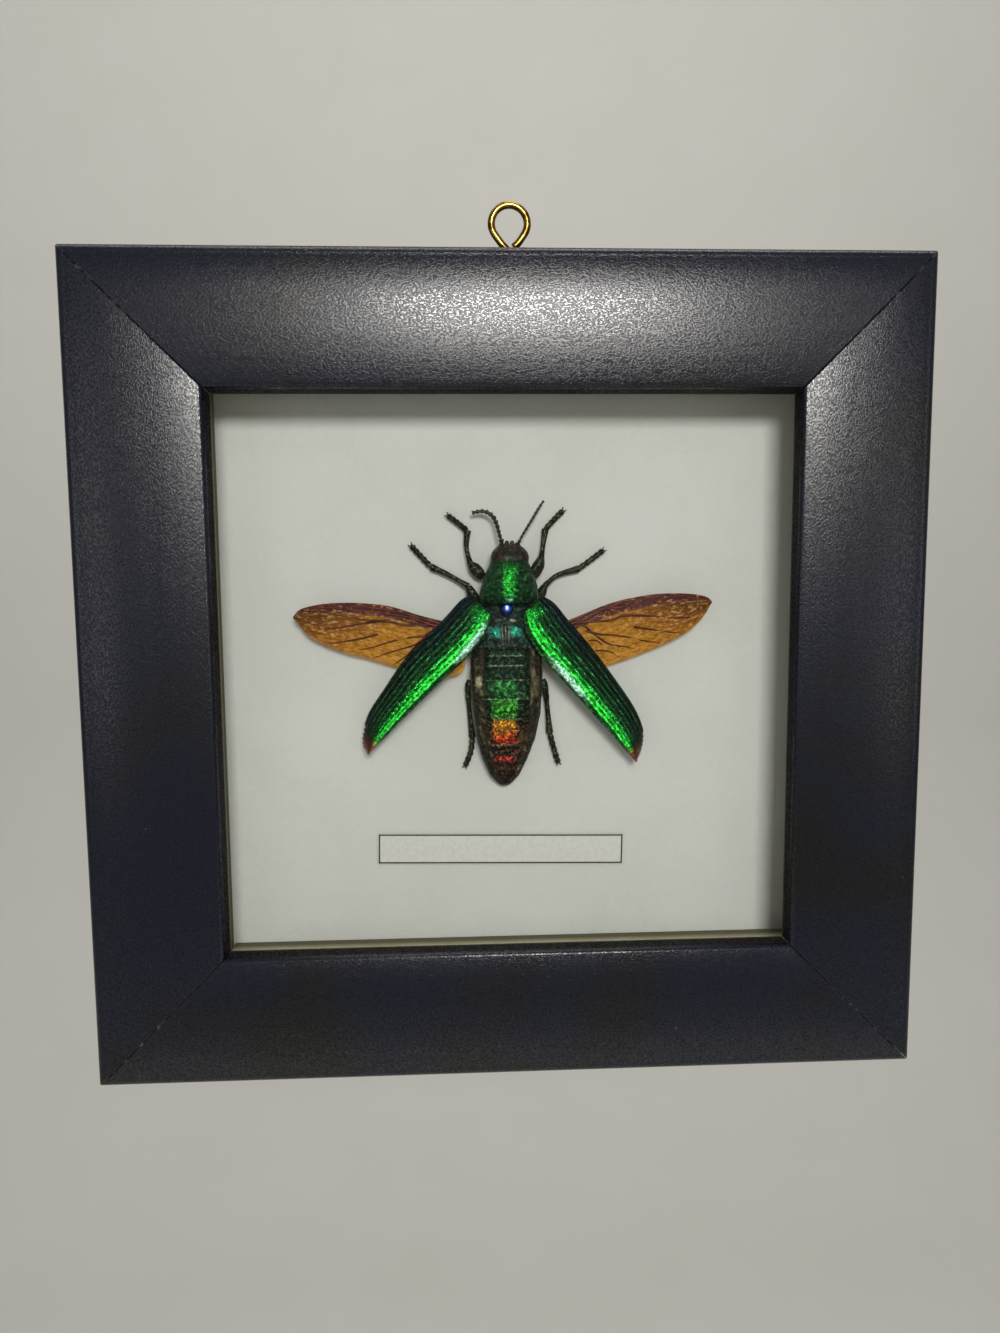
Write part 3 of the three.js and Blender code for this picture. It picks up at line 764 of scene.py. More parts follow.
def pronotum_shell():
    f = Finish("pronotum_shell")
    mottled = f.noise(1.6, 4, 0.7)
    # The strip is a painted highlight: lighter green, with less metal, along the middle.
    ragged = f.plus(f.x, f.times(f.minus(mottled, 0.5), 3.0))
    strip = f.times(f.window(ragged, -0.5, 1.4, 0.7), f.window(f.z, 13.2, 18.2, 1.2))
    colour = f.mix(f.step(mottled, 0.35, 0.65), "08280f", "0e3c1a")
    colour = f.mix(f.times(strip, 0.85), colour, "1aa52c")
    # A painted teal-white glint near the rear edge.
    painted_glint_spot = f.times(f.window(f.x, 0.0, 1.1, 0.3), f.window(f.z, 12.4, 13.0, 0.3))
    colour = f.mix(painted_glint_spot, colour, "8fe8c0")
    metallic = f.minus(0.75, f.times(strip, 0.3))
    spark = f.calc("MULTIPLY_ADD", strip, 0.35, 0.65)
    return f.done(shell(f, colour, metallic, 0.22, 0.9, spark))


def pronotum():
    def shape(t, share, upper):
        rear = 0.9 * max(0.0, (t - 0.88) / 0.12) ** 2
        groove = -0.18 * hump(share, 0.0, 0.12) * max(0.0, upper)
        return groove, 1 - 0.12 * rear

    bm = new_shape()
    segment(bm, PRONOTUM_STATIONS, 72, even(60), 2.4, shape)
    keep(bm, "beetle_pronotum", [pronotum_shell()], crease=60)


pronotum()

# %% [markdown]
# The head is tucked under the pronotum. Two large dark brown eyes take up most of it, with a
# narrow pitted brow between them and small knobs at the front, where the mouth and the feelers
# begin.

# %% Head
HEAD_STATIONS = [
    [19.1, 0.8, 3.25, 1.2, 5.9], [20.0, 0.8, 3.3, 1.0, 5.9], [20.8, 0.8, 3.05, 1.1, 5.4],
    [21.5, 0.8, 2.45, 1.4, 4.6], [22.2, 0.8, 1.45, 2.0, 3.6],
]
BROW_HALF = 1.05
HEAD_X = 0.8


def head_shell():
    """Brown eyes on both sides of a pitted brow, with some green where it meets the shield."""
    f = Finish("head_shell")
    aside = f.unsigned(f.minus(f.x, HEAD_X))
    eye = f.times(f.step(aside, BROW_HALF - 0.15, BROW_HALF + 0.15),
                  f.step(f.z, 22.0, 21.6, 0.0, 1.0))
    green = f.times(f.step(f.z, 19.6, 20.6, 1.0, 0.0), f.step(f.noise(2.5, 3), 0.45, 0.6),
                    f.minus(1.0, eye))
    brow = f.mix(green, "1d1814", "1c5a30")
    brow = f.mix(f.step(f.grains(2.4), 0.7, 0.95, 0.0, 0.5), brow, "6a6a50")
    lens = f.mix(f.step(f.noise(0.9, 3), 0.4, 0.65), "1e1814", "2c231f")
    height = f.times(f.noise(2.6, 4, 0.75), f.minus(1.1, eye))
    return f.done(f.surface(f.mix(eye, brow, lens), 0.36, 0.0, f.bump(height, 0.7, 0.2),
                            gloss=0.2))


def head():
    def shape(t, share, upper):
        eye = hump(abs(share), 0.72, 0.26) * hump(t, 0.42, 0.42)
        margin = hump(abs(share), 0.34, 0.05)
        return (0.3 * eye - 0.14 * margin) * max(0.0, upper), 1

    bm = new_shape()
    segment(bm, HEAD_STATIONS, 96, even(48), 2.5, shape)
    for side in (-1, 1):
        ball(bm, HEAD_X + 1.35 * side, 22.0, 3.3, (0.5, 0.45, 0.45), 14)
        ball(bm, HEAD_X + 0.45 * side, 22.3, 2.9, (0.42, 0.4, 0.45), 14)
    keep(bm, "beetle_head", [head_shell()], crease=60)


head()

# %% [markdown]
# Behind the pronotum the back is nearly black, with a patch of teal painted on either side. The
# scutellum is a small blue knob; behind it come two dull plates and three thin pale ridges that
# run back to the first ring of the abdomen.

# %% Thorax
THORAX_STATIONS = [
    [11.95, 0.3, 4.3, 0.9, 4.8], [9.6, 0.2, 5.5, 0.6, 5.0], [7.0, 0.15, 6.1, 0.4, 5.2],
    [4.3, 0.15, 6.2, 0.4, 5.5],
]


def thorax_shell():
    f = Finish("thorax_shell")
    flanks = f.step(f.unsigned(f.x), 3.6, 5.2)
    colour = f.mix(f.noise(0.8, 4), "040b0b", "061612")
    colour = f.mix(f.times(flanks, f.step(f.noise(0.9, 4), 0.45, 0.6)), colour, "3a3428")
    teal = f.times(f.window(f.unsigned(f.plus(f.x, 0.1)), 0.8, 2.8, 0.35),
                   f.window(f.z, 6.3, 8.0, 0.4), f.step(f.noise(1.3, 4, 0.7), 0.4, 0.56), 0.8)
    colour = f.mix(teal, colour, "1f8a74")
    return f.done(shell(f, colour, 0.6, 0.24, 0.4, 0.55, 0.2, 2.4, (0.02, 0.06, 0.035, 1.0)))


def scutellum_shell():
    """Deep blue, with a small painted blue-white highlight on its middle in a ring of lighter
    blue.
    """
    f = Finish("scutellum_shell")
    off = f.calc("SQRT",
                 f.plus(f.calc("POWER", f.minus(f.x, 0.15), 2.0),
                        f.calc("POWER", f.minus(f.z, 11.1), 2.0)))
    colour = f.mix(f.step(f.noise(0.7, 3), 0.4, 0.6), "060b26", "0d1648")
    # Painted highlight: lighter blue round a blue-white middle.
    colour = f.mix(f.step(off, 0.35, 0.85, 1.0, 0.0), colour, "2450d0")
    colour = f.mix(f.step(off, 0.15, 0.42, 1.0, 0.0), colour, "c4e2ff")
    return f.done(f.surface(colour, 0.22, 0.6, f.bump(f.noise(1.5, 3), 0.2, 0.05), gloss=0.3))


def pale_ridge():
    f = Finish("pale_ridge")
    colour = f.mix(f.step(f.noise(1.0, 4, 0.6), 0.4, 0.62), "2b2a2b", "6a655f")
    return f.done(shell(f, colour, 0.3, 0.3, 0.2))


def thorax():
    bm = new_shape()
    segment(bm, THORAX_STATIONS, 64, even(48), 2.6,
            lambda t, share, upper: (0.3 * hump(share, 0.0, 0.3) * max(0.0, upper), 1))
    ball(bm, 0.1, 11.0, 5.3, (1.2, 0.5, 1.3), 36, 1)
    for side in (-1, 1):
        ball(bm, -0.1 + 1.1 * side, 9.1, 5.05, (0.75, 0.3, 0.42), 18, 2)
        ball(bm, 0.1 + 1.2 * side, 4.75, 5.55, (0.32, 0.2, 0.3), 14, 2)
    for x0, x1 in ((-0.75, -0.6), (-0.15, -0.1), (0.5, 0.4)):
        limb(bm, [[x0, 8.6, 5.1], [(x0 + x1) / 2, 6.4, 5.55], [x1, 4.6, 5.55]],
             [0.16, 0.2, 0.12], 10, 16, slot_index=2)
    keep(bm, "beetle_thorax", [thorax_shell(), scutellum_shell(), pale_ridge()],
         crease=60)


thorax()

# %% [markdown]
# The abdomen has lain bare since the wings were spread, so it shows its thin-skinned back: a
# row of rings, each tucked under the one in front. The middle of the rings runs from dark green
# through bright green to orange and pink, the sides are dry, brown and grey, and a narrow dark
# rim goes all the way round.

# %% Abdomen
ABDOMEN_STATIONS = [
    [4.25, 0.15, 6.1, 0.5, 5.7], [0, 0.1, 6.35, 0.3, 6.1], [-4, 0.1, 6.25, 0.3, 6.1],
    [-8, 0.15, 5.85, 0.3, 5.7], [-12, 0.0, 5.1, 0.3, 5.1], [-15.6, -0.2, 4.0, 0.35, 4.4],
    [-18.6, -0.25, 2.6, 0.4, 3.4], [-20.7, -0.3, 0.8, 0.7, 2.0],
]
RING_LINES = [3.0, 1.3, -1.2, -4.5, -8.0, -12.7, -14.7]
RING_TUCK = 0.05


def abdomen_skin():
    f = Finish("abdomen_skin")
    dapple = f.noise(2.2, 4, 0.65)
    blotch = f.noise(0.8, 4, 0.6, at=f.stretched((1.0, 1.0, 0.55)))
    back = f.ramp(f.step(f.z, -20, 4),
                  [(0.0, "2a1710"), (0.3, "34180d"), (0.5, "1d160b"), (0.66, "06240f"),
                   (1.0, "03140a")])
    side = f.unsigned(f.minus(f.x, 0.1))
    narrowing = f.step(f.z, -20, -6, 0.35, 1.0)
    side_share = f.calc("DIVIDE", side, f.times(narrowing, 6.2))
    flank = f.times(f.window(side_share, 0.66, 0.9, 0.04), f.step(blotch, 0.5, 0.6))
    dry = f.step(side_share, 0.56, 0.66)
    colour = f.mix(f.times(dry, 0.8), back, "1f1a10")
    colour = f.mix(f.times(flank, 0.6), colour, "6b6248")
    pale = f.times(f.window(f.x, -5.3, -4.4, 0.3), f.window(f.z, -2.3, -0.7, 0.4))
    colour = f.mix(pale, colour, "aba187")
    colour = f.mix(f.step(side_share, 0.92, 0.97), colour, "1a1610")
    spread = f.times(f.minus(dapple, 0.5), 2.6)
    wavy = f.plus(f.x, spread)
    edge = f.plus(f.z, f.times(spread, 0.08))
    # A pale line along each ring's rear edge is painted highlight, and the dark band just behind
    # it is painted shade where the next ring tucks under.
    for line_z, reach, strength in ((3.0, 3.0, 0.3), (1.3, 3.0, 0.4), (-1.2, 3.6, 0.35),
                                    (-4.5, 4.0, 0.5), (-8.0, 2.2, 0.5), (-12.7, 2.6, 0.3)):
        near_middle = f.window(f.x, -reach, reach, 0.6)
        line = f.times(f.window(edge, line_z - 0.1, line_z + 0.14, 0.1), near_middle,
                       f.step(dapple, 0.36, 0.5), strength)
        colour = f.mix(line, colour, "8fb488")
        painted_shade_under_ring = f.times(f.window(edge, line_z - 0.8, line_z - 0.1, 0.2), near_middle, 0.6)
        colour = f.mix(painted_shade_under_ring, colour, "020603")
    ember = f.plus(f.z, f.times(spread, 0.5))
    flame = f.mix(f.step(ember, -12.2, -8.4), "a82618", "b8801c")
    patches = (((-2.5, 1.7), (-4.1, -1.3), "0c4a1a"), ((-2.3, 1.6), (-7.7, -4.7), "2c7a1c"),
               ((-2.1, 1.5), (-12.4, -8.2), flame), ((-1.7, 1.1), (-15.6, -14.9), "b03432"))
    for (x0, x1), (z0, z1), shade in patches:
        here = f.times(f.window(wavy, x0, x1, 0.7), f.window(f.z, z0, z1, 0.35))
        colour = f.mix(f.times(here, f.step(dapple, 0.4, 0.56, 0.3, 1.0)), colour, shade)
    metallic = f.step(dry, 0.0, 1.0, 0.6, 0.2)
    spark = f.times(f.step(dry, 0.0, 1.0, 0.85, 0.3), f.step(f.z, -1.5, 0.5, 1.0, 0.45))
    return f.done(shell(f, colour, metallic, 0.26, 0.45, spark, 0.15, 2.4,
                        (0.03, 0.055, 0.03, 1.0)))


def abdomen():
    zs = [station[0] for station in ABDOMEN_STATIONS]

    def z_at(t):
        return blend(zs, t)

    marks = [zs[0] + 0.01] + RING_LINES + [zs[-1]]
    rows = set(even(96)) | {0.94 + 0.06 * v for v in even(14)}
    for line in RING_LINES:
        near = min(even(4001), key=lambda t: abs(z_at(t) - line))
        rows |= {near - 0.004, near - 0.0012, near + 0.0012, near + 0.006}

    def shape(t, share, upper):
        z = z_at(t)
        ahead = min([mark for mark in marks if mark >= z - 1e-9], default=marks[0])
        behind = max([mark for mark in marks if mark < z - 1e-9], default=marks[-1])
        grown = (ahead - z) / max(ahead - behind, 1e-6)
        tuck = RING_TUCK * (1 - grown) ** 2
        groove = 0.3 * (hump(share, 0.66, 0.06) + hump(share, -0.66, 0.06))
        wave = 0.05 * math.sin(z * 5.0) * hump(abs(share), 0.8, 0.1)
        round_off = math.sqrt(max(0.02, 1 - max(0.0, (t - 0.94) / 0.06) ** 2))
        return (wave - groove - 5.0 * tuck) * max(0.0, upper), (1 - tuck * 0.3) * round_off

    bm = new_shape()
    segment(bm, ABDOMEN_STATIONS, 88, sorted(rows), 2.25, shape)
    keep(bm, "beetle_abdomen", [abdomen_skin()], crease=60)


abdomen()

# %% [markdown]
# The wing cases are stiff curved shells. Each is a skin between its leading and its trailing edge:
# fine ribs run parallel to the inner edge, the base bends down to the body, and the last part of
# the outer edge carries small teeth. Their colour has a painted highlight of brilliant green on
# the inner quarter and painted shade, a green that is nearly black, towards the outer edge; it is
# navy along the outer base and copper at the tip.

# %% Wing cases
ELYTRON = {"lead_heights": [5.5, 4.9, 4.3, 3.8, 3.2, 2.6],
           "trail_heights": [6.1, 6.1, 5.8, 5.3, 4.7, 4.1],
           "thickness": 0.5, "camber": 1.2, "crest": -0.4}
ELYTRON_EDGES = {
    "left": ([
        [-5.6, 13.5], [-7.4, 12.9], [-10.0, 10.2], [-12.6, 7.5], [-17.4, 2.7], [-21.0, -2.4],
        [-24.1, -7.2], [-25.2, -11.0], [-25.2, -12.8], [-24.4, -14.2],
    ], [
        [-2.4, 9.6], [-3.8, 6.5], [-5.2, 4.7], [-7.2, 2.5], [-10.1, -0.2], [-16.0, -5.9],
        [-19.2, -9.1], [-22.2, -12.2], [-23.9, -13.9],
    ]),
    "right": ([
        [6.3, 13.3], [8.2, 12.1], [10.7, 9.1], [13.5, 5.9], [16.3, 2.4], [20.8, -3.8],
        [22.8, -6.9], [24.0, -9.6], [24.5, -11.8], [24.1, -14.5], [23.2, -16.3],
    ], [
        [2.9, 10.2], [3.2, 7.4], [4.6, 4.8], [6.3, 2.4], [8.9, -0.5], [14.7, -7.0],
        [18.0, -10.7], [20.8, -14.0], [22.7, -16.1],
    ]),
}
RIB_SPACING = 0.235
TOOTH_START = 0.84
TEETH = 7
TOOTH_DEPTH = 0.34


def blade(bm, edges, shape, around, rows, extra):
    """A curved blade between two edges. extra(t, across, upper, point) says how far a point
    moves, in millimetres: towards the inner edge and up."""
    lead, trail = (curve([(x, 0, z) for x, z in edge]) for edge in edges)

    def section(t, angle):
        a, b = lead(t), trail(t)
        a.y = spot(0, 0, blend(shape["lead_heights"], t)).y
        b.y = spot(0, 0, blend(shape["trail_heights"], t)).y
        across = 0.0 if angle is None else math.cos(angle)
        upper = 0.0 if angle is None else math.sin(angle)
        crest = shape["crest"]
        reach = 1 - crest if across > crest else 1 + crest
        bulge = shape["camber"] * (1 - ((across - crest) / reach) ** 2)
        point = (a + b) / 2 + (a - b) * across / 2
        point.y -= shape["thickness"] / 2 * upper + bulge
        inwards, up = extra(t, across, upper, point)
        point += (b - a).normalized() * inwards
        point.y -= up
        return point

    skin(bm, around, rows, section)


def elytron_shell(name, gleam):
    """gleam is where along the case the painted gleam is brightest."""
    f = Finish(name)
    t, across = f.attribute("along"), f.attribute("across")
    wander = f.times(f.minus(f.noise(1.4, 4, 0.7), 0.5), 0.22)
    where = f.step(f.plus(across, wander), -1.0, 1.0)
    # The ramp paints a highlight of brilliant green on the inner quarter and shade, nearly black,
    # towards the outer edge.
    colour = f.ramp(where,
                    [(0.0, "0a3414"), (0.04, "0c4a1a"), (0.07, "1ccc34"), (0.2, "17a82a"),
                     (0.32, "0b5a1c"), (0.5, "073414"), (0.75, "052012"), (1.0, "040c0b")])
    # Rib crests are painted lighter as highlight, and the grooves between them darker as shade.
    turns = f.times(across, 2 * math.pi / RIB_SPACING)
    even_part = f.step(t, 0.93, 0.8, 0.0, 1.0)
    rib = f.times(f.step(f.calc("COSINE", turns), 0.45, 0.95), even_part)
    groove = f.times(f.step(f.calc("COSINE", turns), -0.2, -0.9), even_part, 0.5)
    rib_highlight = f.mix(1.0, f.mix(1.0, colour, (2.3, 2.5, 2.2, 1.0), "MULTIPLY"),
                    (0.008, 0.05, 0.018, 1.0), "ADD")
    colour = f.mix(rib, f.mix(groove, colour, "020603"), rib_highlight)
    # A painted white-cyan highlight at the brightest part of the gleam.
    painted_core_highlight = f.times(f.window(f.plus(across, wander), -0.86, -0.6, 0.08),
                   f.window(t, gleam - 0.11, gleam + 0.11, 0.08),
                   f.step(f.noise(2.0, 3, 0.7), 0.38, 0.52, 0.3, 1.0))
    colour = f.mix(painted_core_highlight, colour, "c8fff4")
    # A painted sheen of mid green near the base.
    base = f.times(f.step(t, 0.03, 0.1, 1.0, 0.0), f.window(across, -0.8, 0.3, 0.2))
    colour = f.mix(f.times(base, 0.6), colour, "148a30")
    navy = f.times(f.step(across, 0.3, 0.85), f.step(t, 0.5, 0.25, 0.0, 1.0))
    colour = f.mix(f.times(navy, 0.7), colour, "0b0f24")
    copper = f.step(f.plus(t, f.times(wander, 0.25)), 0.88, 0.95)
    colour = f.mix(copper, colour, "6a2413")
    # Less metal in the painted highlight band and its core, so that the painted light shows.
    bright = f.window(across, -0.9, -0.45, 0.12)
    metallic = f.minus(f.minus(0.85, f.times(bright, 0.5)), f.times(painted_core_highlight, 0.35), clamp=True)
    spark = f.minus(f.step(across, -0.5, 0.1, 0.85, 0.5), f.times(painted_core_highlight, 0.4))
    return f.done(shell(f, colour, metallic, 0.21, 0.6, spark))


def elytron(side, gleam):
    def extra(t, across, upper, point):
        fade = max(0.0, min(1.0, (0.97 - t) / 0.2))
        rib = max(0.0, math.cos(2 * math.pi * across / RIB_SPACING)) ** 4 * max(0.0, upper) * 0.16
        rim = 0.12 * hump(across, -1.0, 0.06)
        base = -1.1 * max(0.0, 1 - t / 0.09) ** 2
        tooth = 0.0
        if t > TOOTH_START and across > 0:
            phase = ((t - TOOTH_START) / (1 - TOOTH_START) * TEETH) % 1
            tooth = TOOTH_DEPTH * phase * across ** 6
        return tooth, (rib + rim) * fade + base

    rows = [0.82 * value for value in even(110)] + [0.82 + 0.18 * v for v in even(100)[1:]]
    bm = new_shape()
    blade(bm, ELYTRON_EDGES[side], ELYTRON, 120, rows, extra)
    material = elytron_shell("elytron_shell_" + side, gleam)
    keep(bm, "elytron_" + side, [material], crease=60)


elytron("left", 0.17)
elytron("right", 0.42)

# %% [markdown]
# The flying wings are thin clear amber skin, crinkled from having been folded. Light goes through
# them, so the finish lets about half of it pass, tinted. Strong veins carry them: small limbs
# that are laid on the skin by dropping each of their points onto it. A point that just misses
# the skin takes the height of its rim.

# %% Flying wings
HINDWING = {"lead_heights": [3.1, 3.0, 2.9, 3.0, 3.2, 3.4],
            "trail_heights": [2.9, 2.7, 2.5, 2.6, 2.9, 3.3],
            "thickness": 0.12, "camber": 0.3, "crest": 0.3}
HINDWING_EDGES = {
    "left": ([
        [-6.9, 7.6], [-11.0, 9.0], [-14.5, 9.9], [-19.9, 11.6], [-23.4, 12.1], [-27.0, 12.3],
        [-30.6, 12.2], [-33.8, 11.7], [-35.5, 11.1], [-36.4, 10.1],
    ], [
        [-6.9, 3.4], [-7.4, 0.4], [-9.2, -0.6], [-13.0, -0.6], [-19.3, 1.2], [-23.1, 2.4],
        [-27.2, 3.5], [-30.4, 4.7], [-34.0, 6.7], [-35.5, 8.6], [-36.4, 9.6],
    ]),
    "right": ([
        [7.1, 7.6], [12.9, 9.6], [16.2, 11.0], [19.6, 12.1], [22.9, 12.8], [26.3, 13.3],
        [30.5, 13.4], [33.8, 13.1], [35.5, 12.6], [36.1, 12.0],
    ], [
        [7.1, 3.4], [7.6, 0.6], [9.4, -0.6], [13.0, -0.7], [18.4, 1.0], [23.7, 2.8],
        [28.1, 4.6], [32.3, 6.8], [34.7, 9.2], [35.7, 10.9], [36.1, 11.6],
    ]),
}
VEINS = {
    "left": [
        (0.24, [(-10, 7.6), (-13, 8.4), (-16.3, 9.6), (-19.9, 10.2), (-23.5, 10.7), (-27.1, 11.1),
                (-30.7, 11.5), (-33.7, 11.3)]),
        (0.2, [(-11, 8.4), (-15, 9.6), (-19.9, 10.9), (-25, 11.6), (-31, 11.9), (-34.6, 11.3)]),
        (0.2, [(-10, 8.2), (-13.8, 8.3), (-17.2, 8.3), (-19.9, 8.9), (-21.7, 9.1), (-24.5, 8.7),
               (-27.2, 8.3), (-30.8, 7.7), (-33.9, 7.3)]),
        (0.11, [(-18.8, 9.7), (-21.7, 9.2), (-25.3, 9.5), (-29.3, 10.3), (-32, 10.6)]),
        (0.14, [(-22.1, 6.8), (-25.4, 6), (-28, 5.6), (-30.7, 5.2)]),
        (0.16, [(-11, 7.0), (-14, 6.4), (-16.3, 6.2), (-19.1, 5.7), (-21.8, 4.9), (-24.6, 4.2),
                (-27.1, 3.7)]),
        (0.16, [(-11.5, 8), (-13.6, 6.8), (-14.9, 5.4), (-16.9, 4.5), (-19.1, 3.9), (-21.3, 3.2),
                (-23, 2.6)]),
        (0.14, [(-14.9, 5.4), (-16.8, 3.4), (-17.7, 2.6), (-18.8, 1.9), (-19.5, 1.4)]),
    ],
    "right": [
        (0.24, [(9, 7.4), (12.3, 8.5), (14.6, 9.3), (17.1, 10.7), (19.7, 11), (23, 11.4),
                (26.4, 12.1), (28.9, 12.7), (32.3, 13)]),
        (0.2, [(11, 8.6), (15, 10.2), (19.7, 11.6), (24, 12.4), (29, 13.1), (33.4, 13)]),
        (0.2, [(9.5, 8), (12.3, 8.4), (14.6, 8.6), (17.1, 8.7), (19.2, 9), (20.3, 9.5), (23, 9.6),
               (26.4, 9.4), (29.8, 9.2), (32.5, 9.1)]),
        (0.11, [(19.2, 10.6), (20.3, 9.6)]),
        (0.1, [(25.1, 10.3), (28.1, 11.2), (31.5, 12), (33.5, 12.6)]),
        (0.14, [(22.5, 7.6), (25.6, 7.1), (28.1, 6.7), (30.8, 6.4)]),
        (0.16, [(14, 7), (16.3, 6.4), (18.8, 6.2), (21.4, 5.8), (23.9, 5.2), (27.3, 4.7)]),
        (0.16, [(12.5, 8.2), (14, 7.7), (15.1, 6.7), (16.3, 5.8), (18, 4.7), (19.7, 4.3),
                (21.7, 4), (23.8, 3.2)]),
        (0.12, [(14.5, 5.3), (15.8, 5.3), (16.8, 4.6), (17.8, 3.4)]),
        (0.13, [(15.7, 3.5), (17.8, 3.4), (19, 2.9), (20, 2.1)]),
    ],
}
DROP_FROM_Y = -9
RIM_HEIGHT = 3.2


def wing_skin():
    f = Finish("wing_skin")
    t, across = f.attribute("along"), f.attribute("across")
    cloud = f.noise(0.5, 4, 0.6)
    drift = f.times(f.minus(cloud, 0.5), 0.3)
    outwards = f.plus(t, f.plus(drift, f.times(across, 0.22)))
    colour = f.ramp(outwards,
                    [(0.1, "f4c658"), (0.45, "e0a838"), (0.68, "b07026"), (0.85, "7c4618"),
                     (1.0, "6e3e1a")])
    creases = f.noise(1.3, 5, 0.7, at=f.stretched((1.0, 1.0, 2.2)))
    flat = f.add("CombineXYZ", {0: f.times(t, 26.0), 1: f.times(across, 11.0)}).outputs[0]
    streak = f.noise(1.0, 4, 0.65, flat)
    # The flecks on the crinkles are painted light and shade: bright yellow as highlight, dark
    # brown as shade.
    crinkle_light_and_shade = f.plus(f.times(f.step(streak, 0.38, 0.62), 0.5),
                   f.times(f.step(creases, 0.36, 0.64), 0.5))
    colour = f.mix(f.step(crinkle_light_and_shade, 0.5, 0.2, 0.0, 0.4), colour, "7a420c")
    colour = f.mix(f.step(crinkle_light_and_shade, 0.55, 0.9, 0.0, 0.55), colour, "ffdc80")
    costal = f.step(f.plus(across, f.times(drift, 0.2)), 0.52, 0.64)
    # In the costal band the light flecks are painted glints.
    band = f.mix(f.step(crinkle_light_and_shade, 0.6, 0.9, 0.0, 0.7), "451609", "c88a58")
    colour = f.mix(costal, colour, band)
    flow = f.plus(f.times(costal, 0.6), f.step(outwards, 0.3, 0.9, 0.34, 0.6), clamp=True)
    normal = f.bump(creases, 0.6, 0.25)
    solid = f.surface(colour, 0.2, 0.0, normal, gloss=0.15)
    through = f.add("BsdfTransparent", {"Color": f.mix(0.35, colour, "ffe0a0")}).outputs[0]
    return f.done(f.add("MixShader", {0: flow, 1: through, 2: solid}).outputs[0])


def wing_vein():
    f = Finish("wing_vein")
    colour = f.mix(f.step(f.noise(0.6, 3), 0.42, 0.6), "3a0f08", "5e2210")
    return f.done(f.surface(colour, 0.3, 0.0, f.bump(f.noise(4, 3), 0.3, 0.05), gloss=0.2))


WING_SKIN = wing_skin()
WING_VEIN = wing_vein()


def hindwing(side):
    def extra(t, across, upper, point):
        fold = 0.16 * math.sin(across * 13 + t * 2) * (1 - across ** 2)
        crinkle = 0.14 * noise.noise(point * 0.9) + 0.06 * noise.noise(point * 2.3)
        return 0.0, fold + crinkle

    bm = new_shape()
    blade(bm, HINDWING_EDGES[side], HINDWING, 88, even(130), extra)
    membrane = BVHTree.FromBMesh(bm)
    for radius, path in VEINS[side]:
        points = []
        for x, z in path:
            hit = membrane.ray_cast(Vector((x, DROP_FROM_Y, z)), Vector((0, 1, 0)))[0]
            points.append([x, z, CARD_FACE_Y - hit.y if hit else RIM_HEIGHT])
        limb(bm, points, [radius * 1.25, radius, radius * 0.5], 8, 40, 0.9, 1)
    keep(bm, "hindwing_" + side, [WING_SKIN, WING_VEIN], crease=70)


hindwing("left")
hindwing("right")

# %% [markdown]
# The legs are dark bronze, with some green and painted green glints. A thick thigh, a slender shin
# that widens towards its end, five lobed foot joints and two small claws make each of them.

# %% Legs
LEG_ROUTES = {
    "leg_front_left": [[-3.8, 16.4, 1.7], [-5.3, 18.1, 1.9], [-5.95, 18.8, 1.9],
                       [-6.6, 21.6, 1.4], [-6.4, 24.5, 1.0], [-8.0, 25.8, 0.9], [-9.7, 27.1, 0.9]],
    "leg_front_right": [[4.7, 16.2, 1.7], [5.9, 18.4, 1.9], [6.4, 19.7, 1.9],
                        [6.8, 22.2, 1.4], [7.2, 24.7, 1.0], [8.6, 26.2, 0.9], [10.2, 27.8, 0.9]],
    "leg_middle_left": [[-4.5, 11.6, 1.5], [-5.7, 13.5, 1.8], [-6.3, 14.9, 1.8],
                        [-9.4, 16.7, 1.3], [-12.8, 18.3, 1.0], [-14.4, 20.0, 0.9],
                        [-16.1, 21.9, 0.9]],
    "leg_middle_right": [[5.2, 11.6, 1.5], [6.3, 13.5, 1.8], [7.0, 14.9, 1.8],
                         [9.1, 16.6, 1.3], [13.1, 17.8, 1.0], [15.2, 19.3, 0.9],
                         [17.3, 20.9, 0.9]],
    "leg_hind_left": [[-6.25, -1.6, 1.0], [-6.5, -2.8, 1.2], [-6.6, -4.3, 1.1],
                      [-6.3, -8.0, 1.0], [-5.9, -11.8, 0.9], [-6.2, -14.5, 0.9],
                      [-7.2, -17.0, 0.9]],
    "leg_hind_right": [[6.65, -1.6, 1.0], [6.95, -2.8, 1.2], [7.25, -4.3, 1.1],
                       [7.6, -8.0, 1.0], [7.9, -11.3, 0.9], [8.6, -14.0, 0.9],
                       [9.4, -16.7, 0.9]],
}
THIGH_RADII = {"front": [0.7, 1.05, 1.05, 0.65], "middle": [0.6, 0.95, 0.9, 0.55],
               "hind": [0.5, 0.68, 0.62, 0.48]}
SHIN_RADII = [0.55, 0.42, 0.44, 0.52, 0.66]
FOOT_RADII = [0.52, 0.56, 0.5]
CLAW_RADII = [0.15, 0.12, 0.04]
FOOT_JOINTS = 5
FOOT_JOINT_REACH = 1.12


def leg_shell():
    f = Finish("leg_shell")
    green = f.step(f.noise(0.9, 4, 0.6), 0.48, 0.62)
    colour = f.mix(f.times(green, 0.3), "191408", "123818")
    return f.done(shell(f, colour, 0.5, 0.22, 0.4, 0.7, 0.25, 2.4, (0.05, 0.08, 0.04, 1.0)))


LEG_SHELL = leg_shell()


def lobe(t):
    """The outline of one foot joint: narrow where it starts, broad just before its end."""
    return 0.72 + 0.5 * t ** 1.5 - 0.45 * max(0.0, (t - 0.85) / 0.15) ** 2


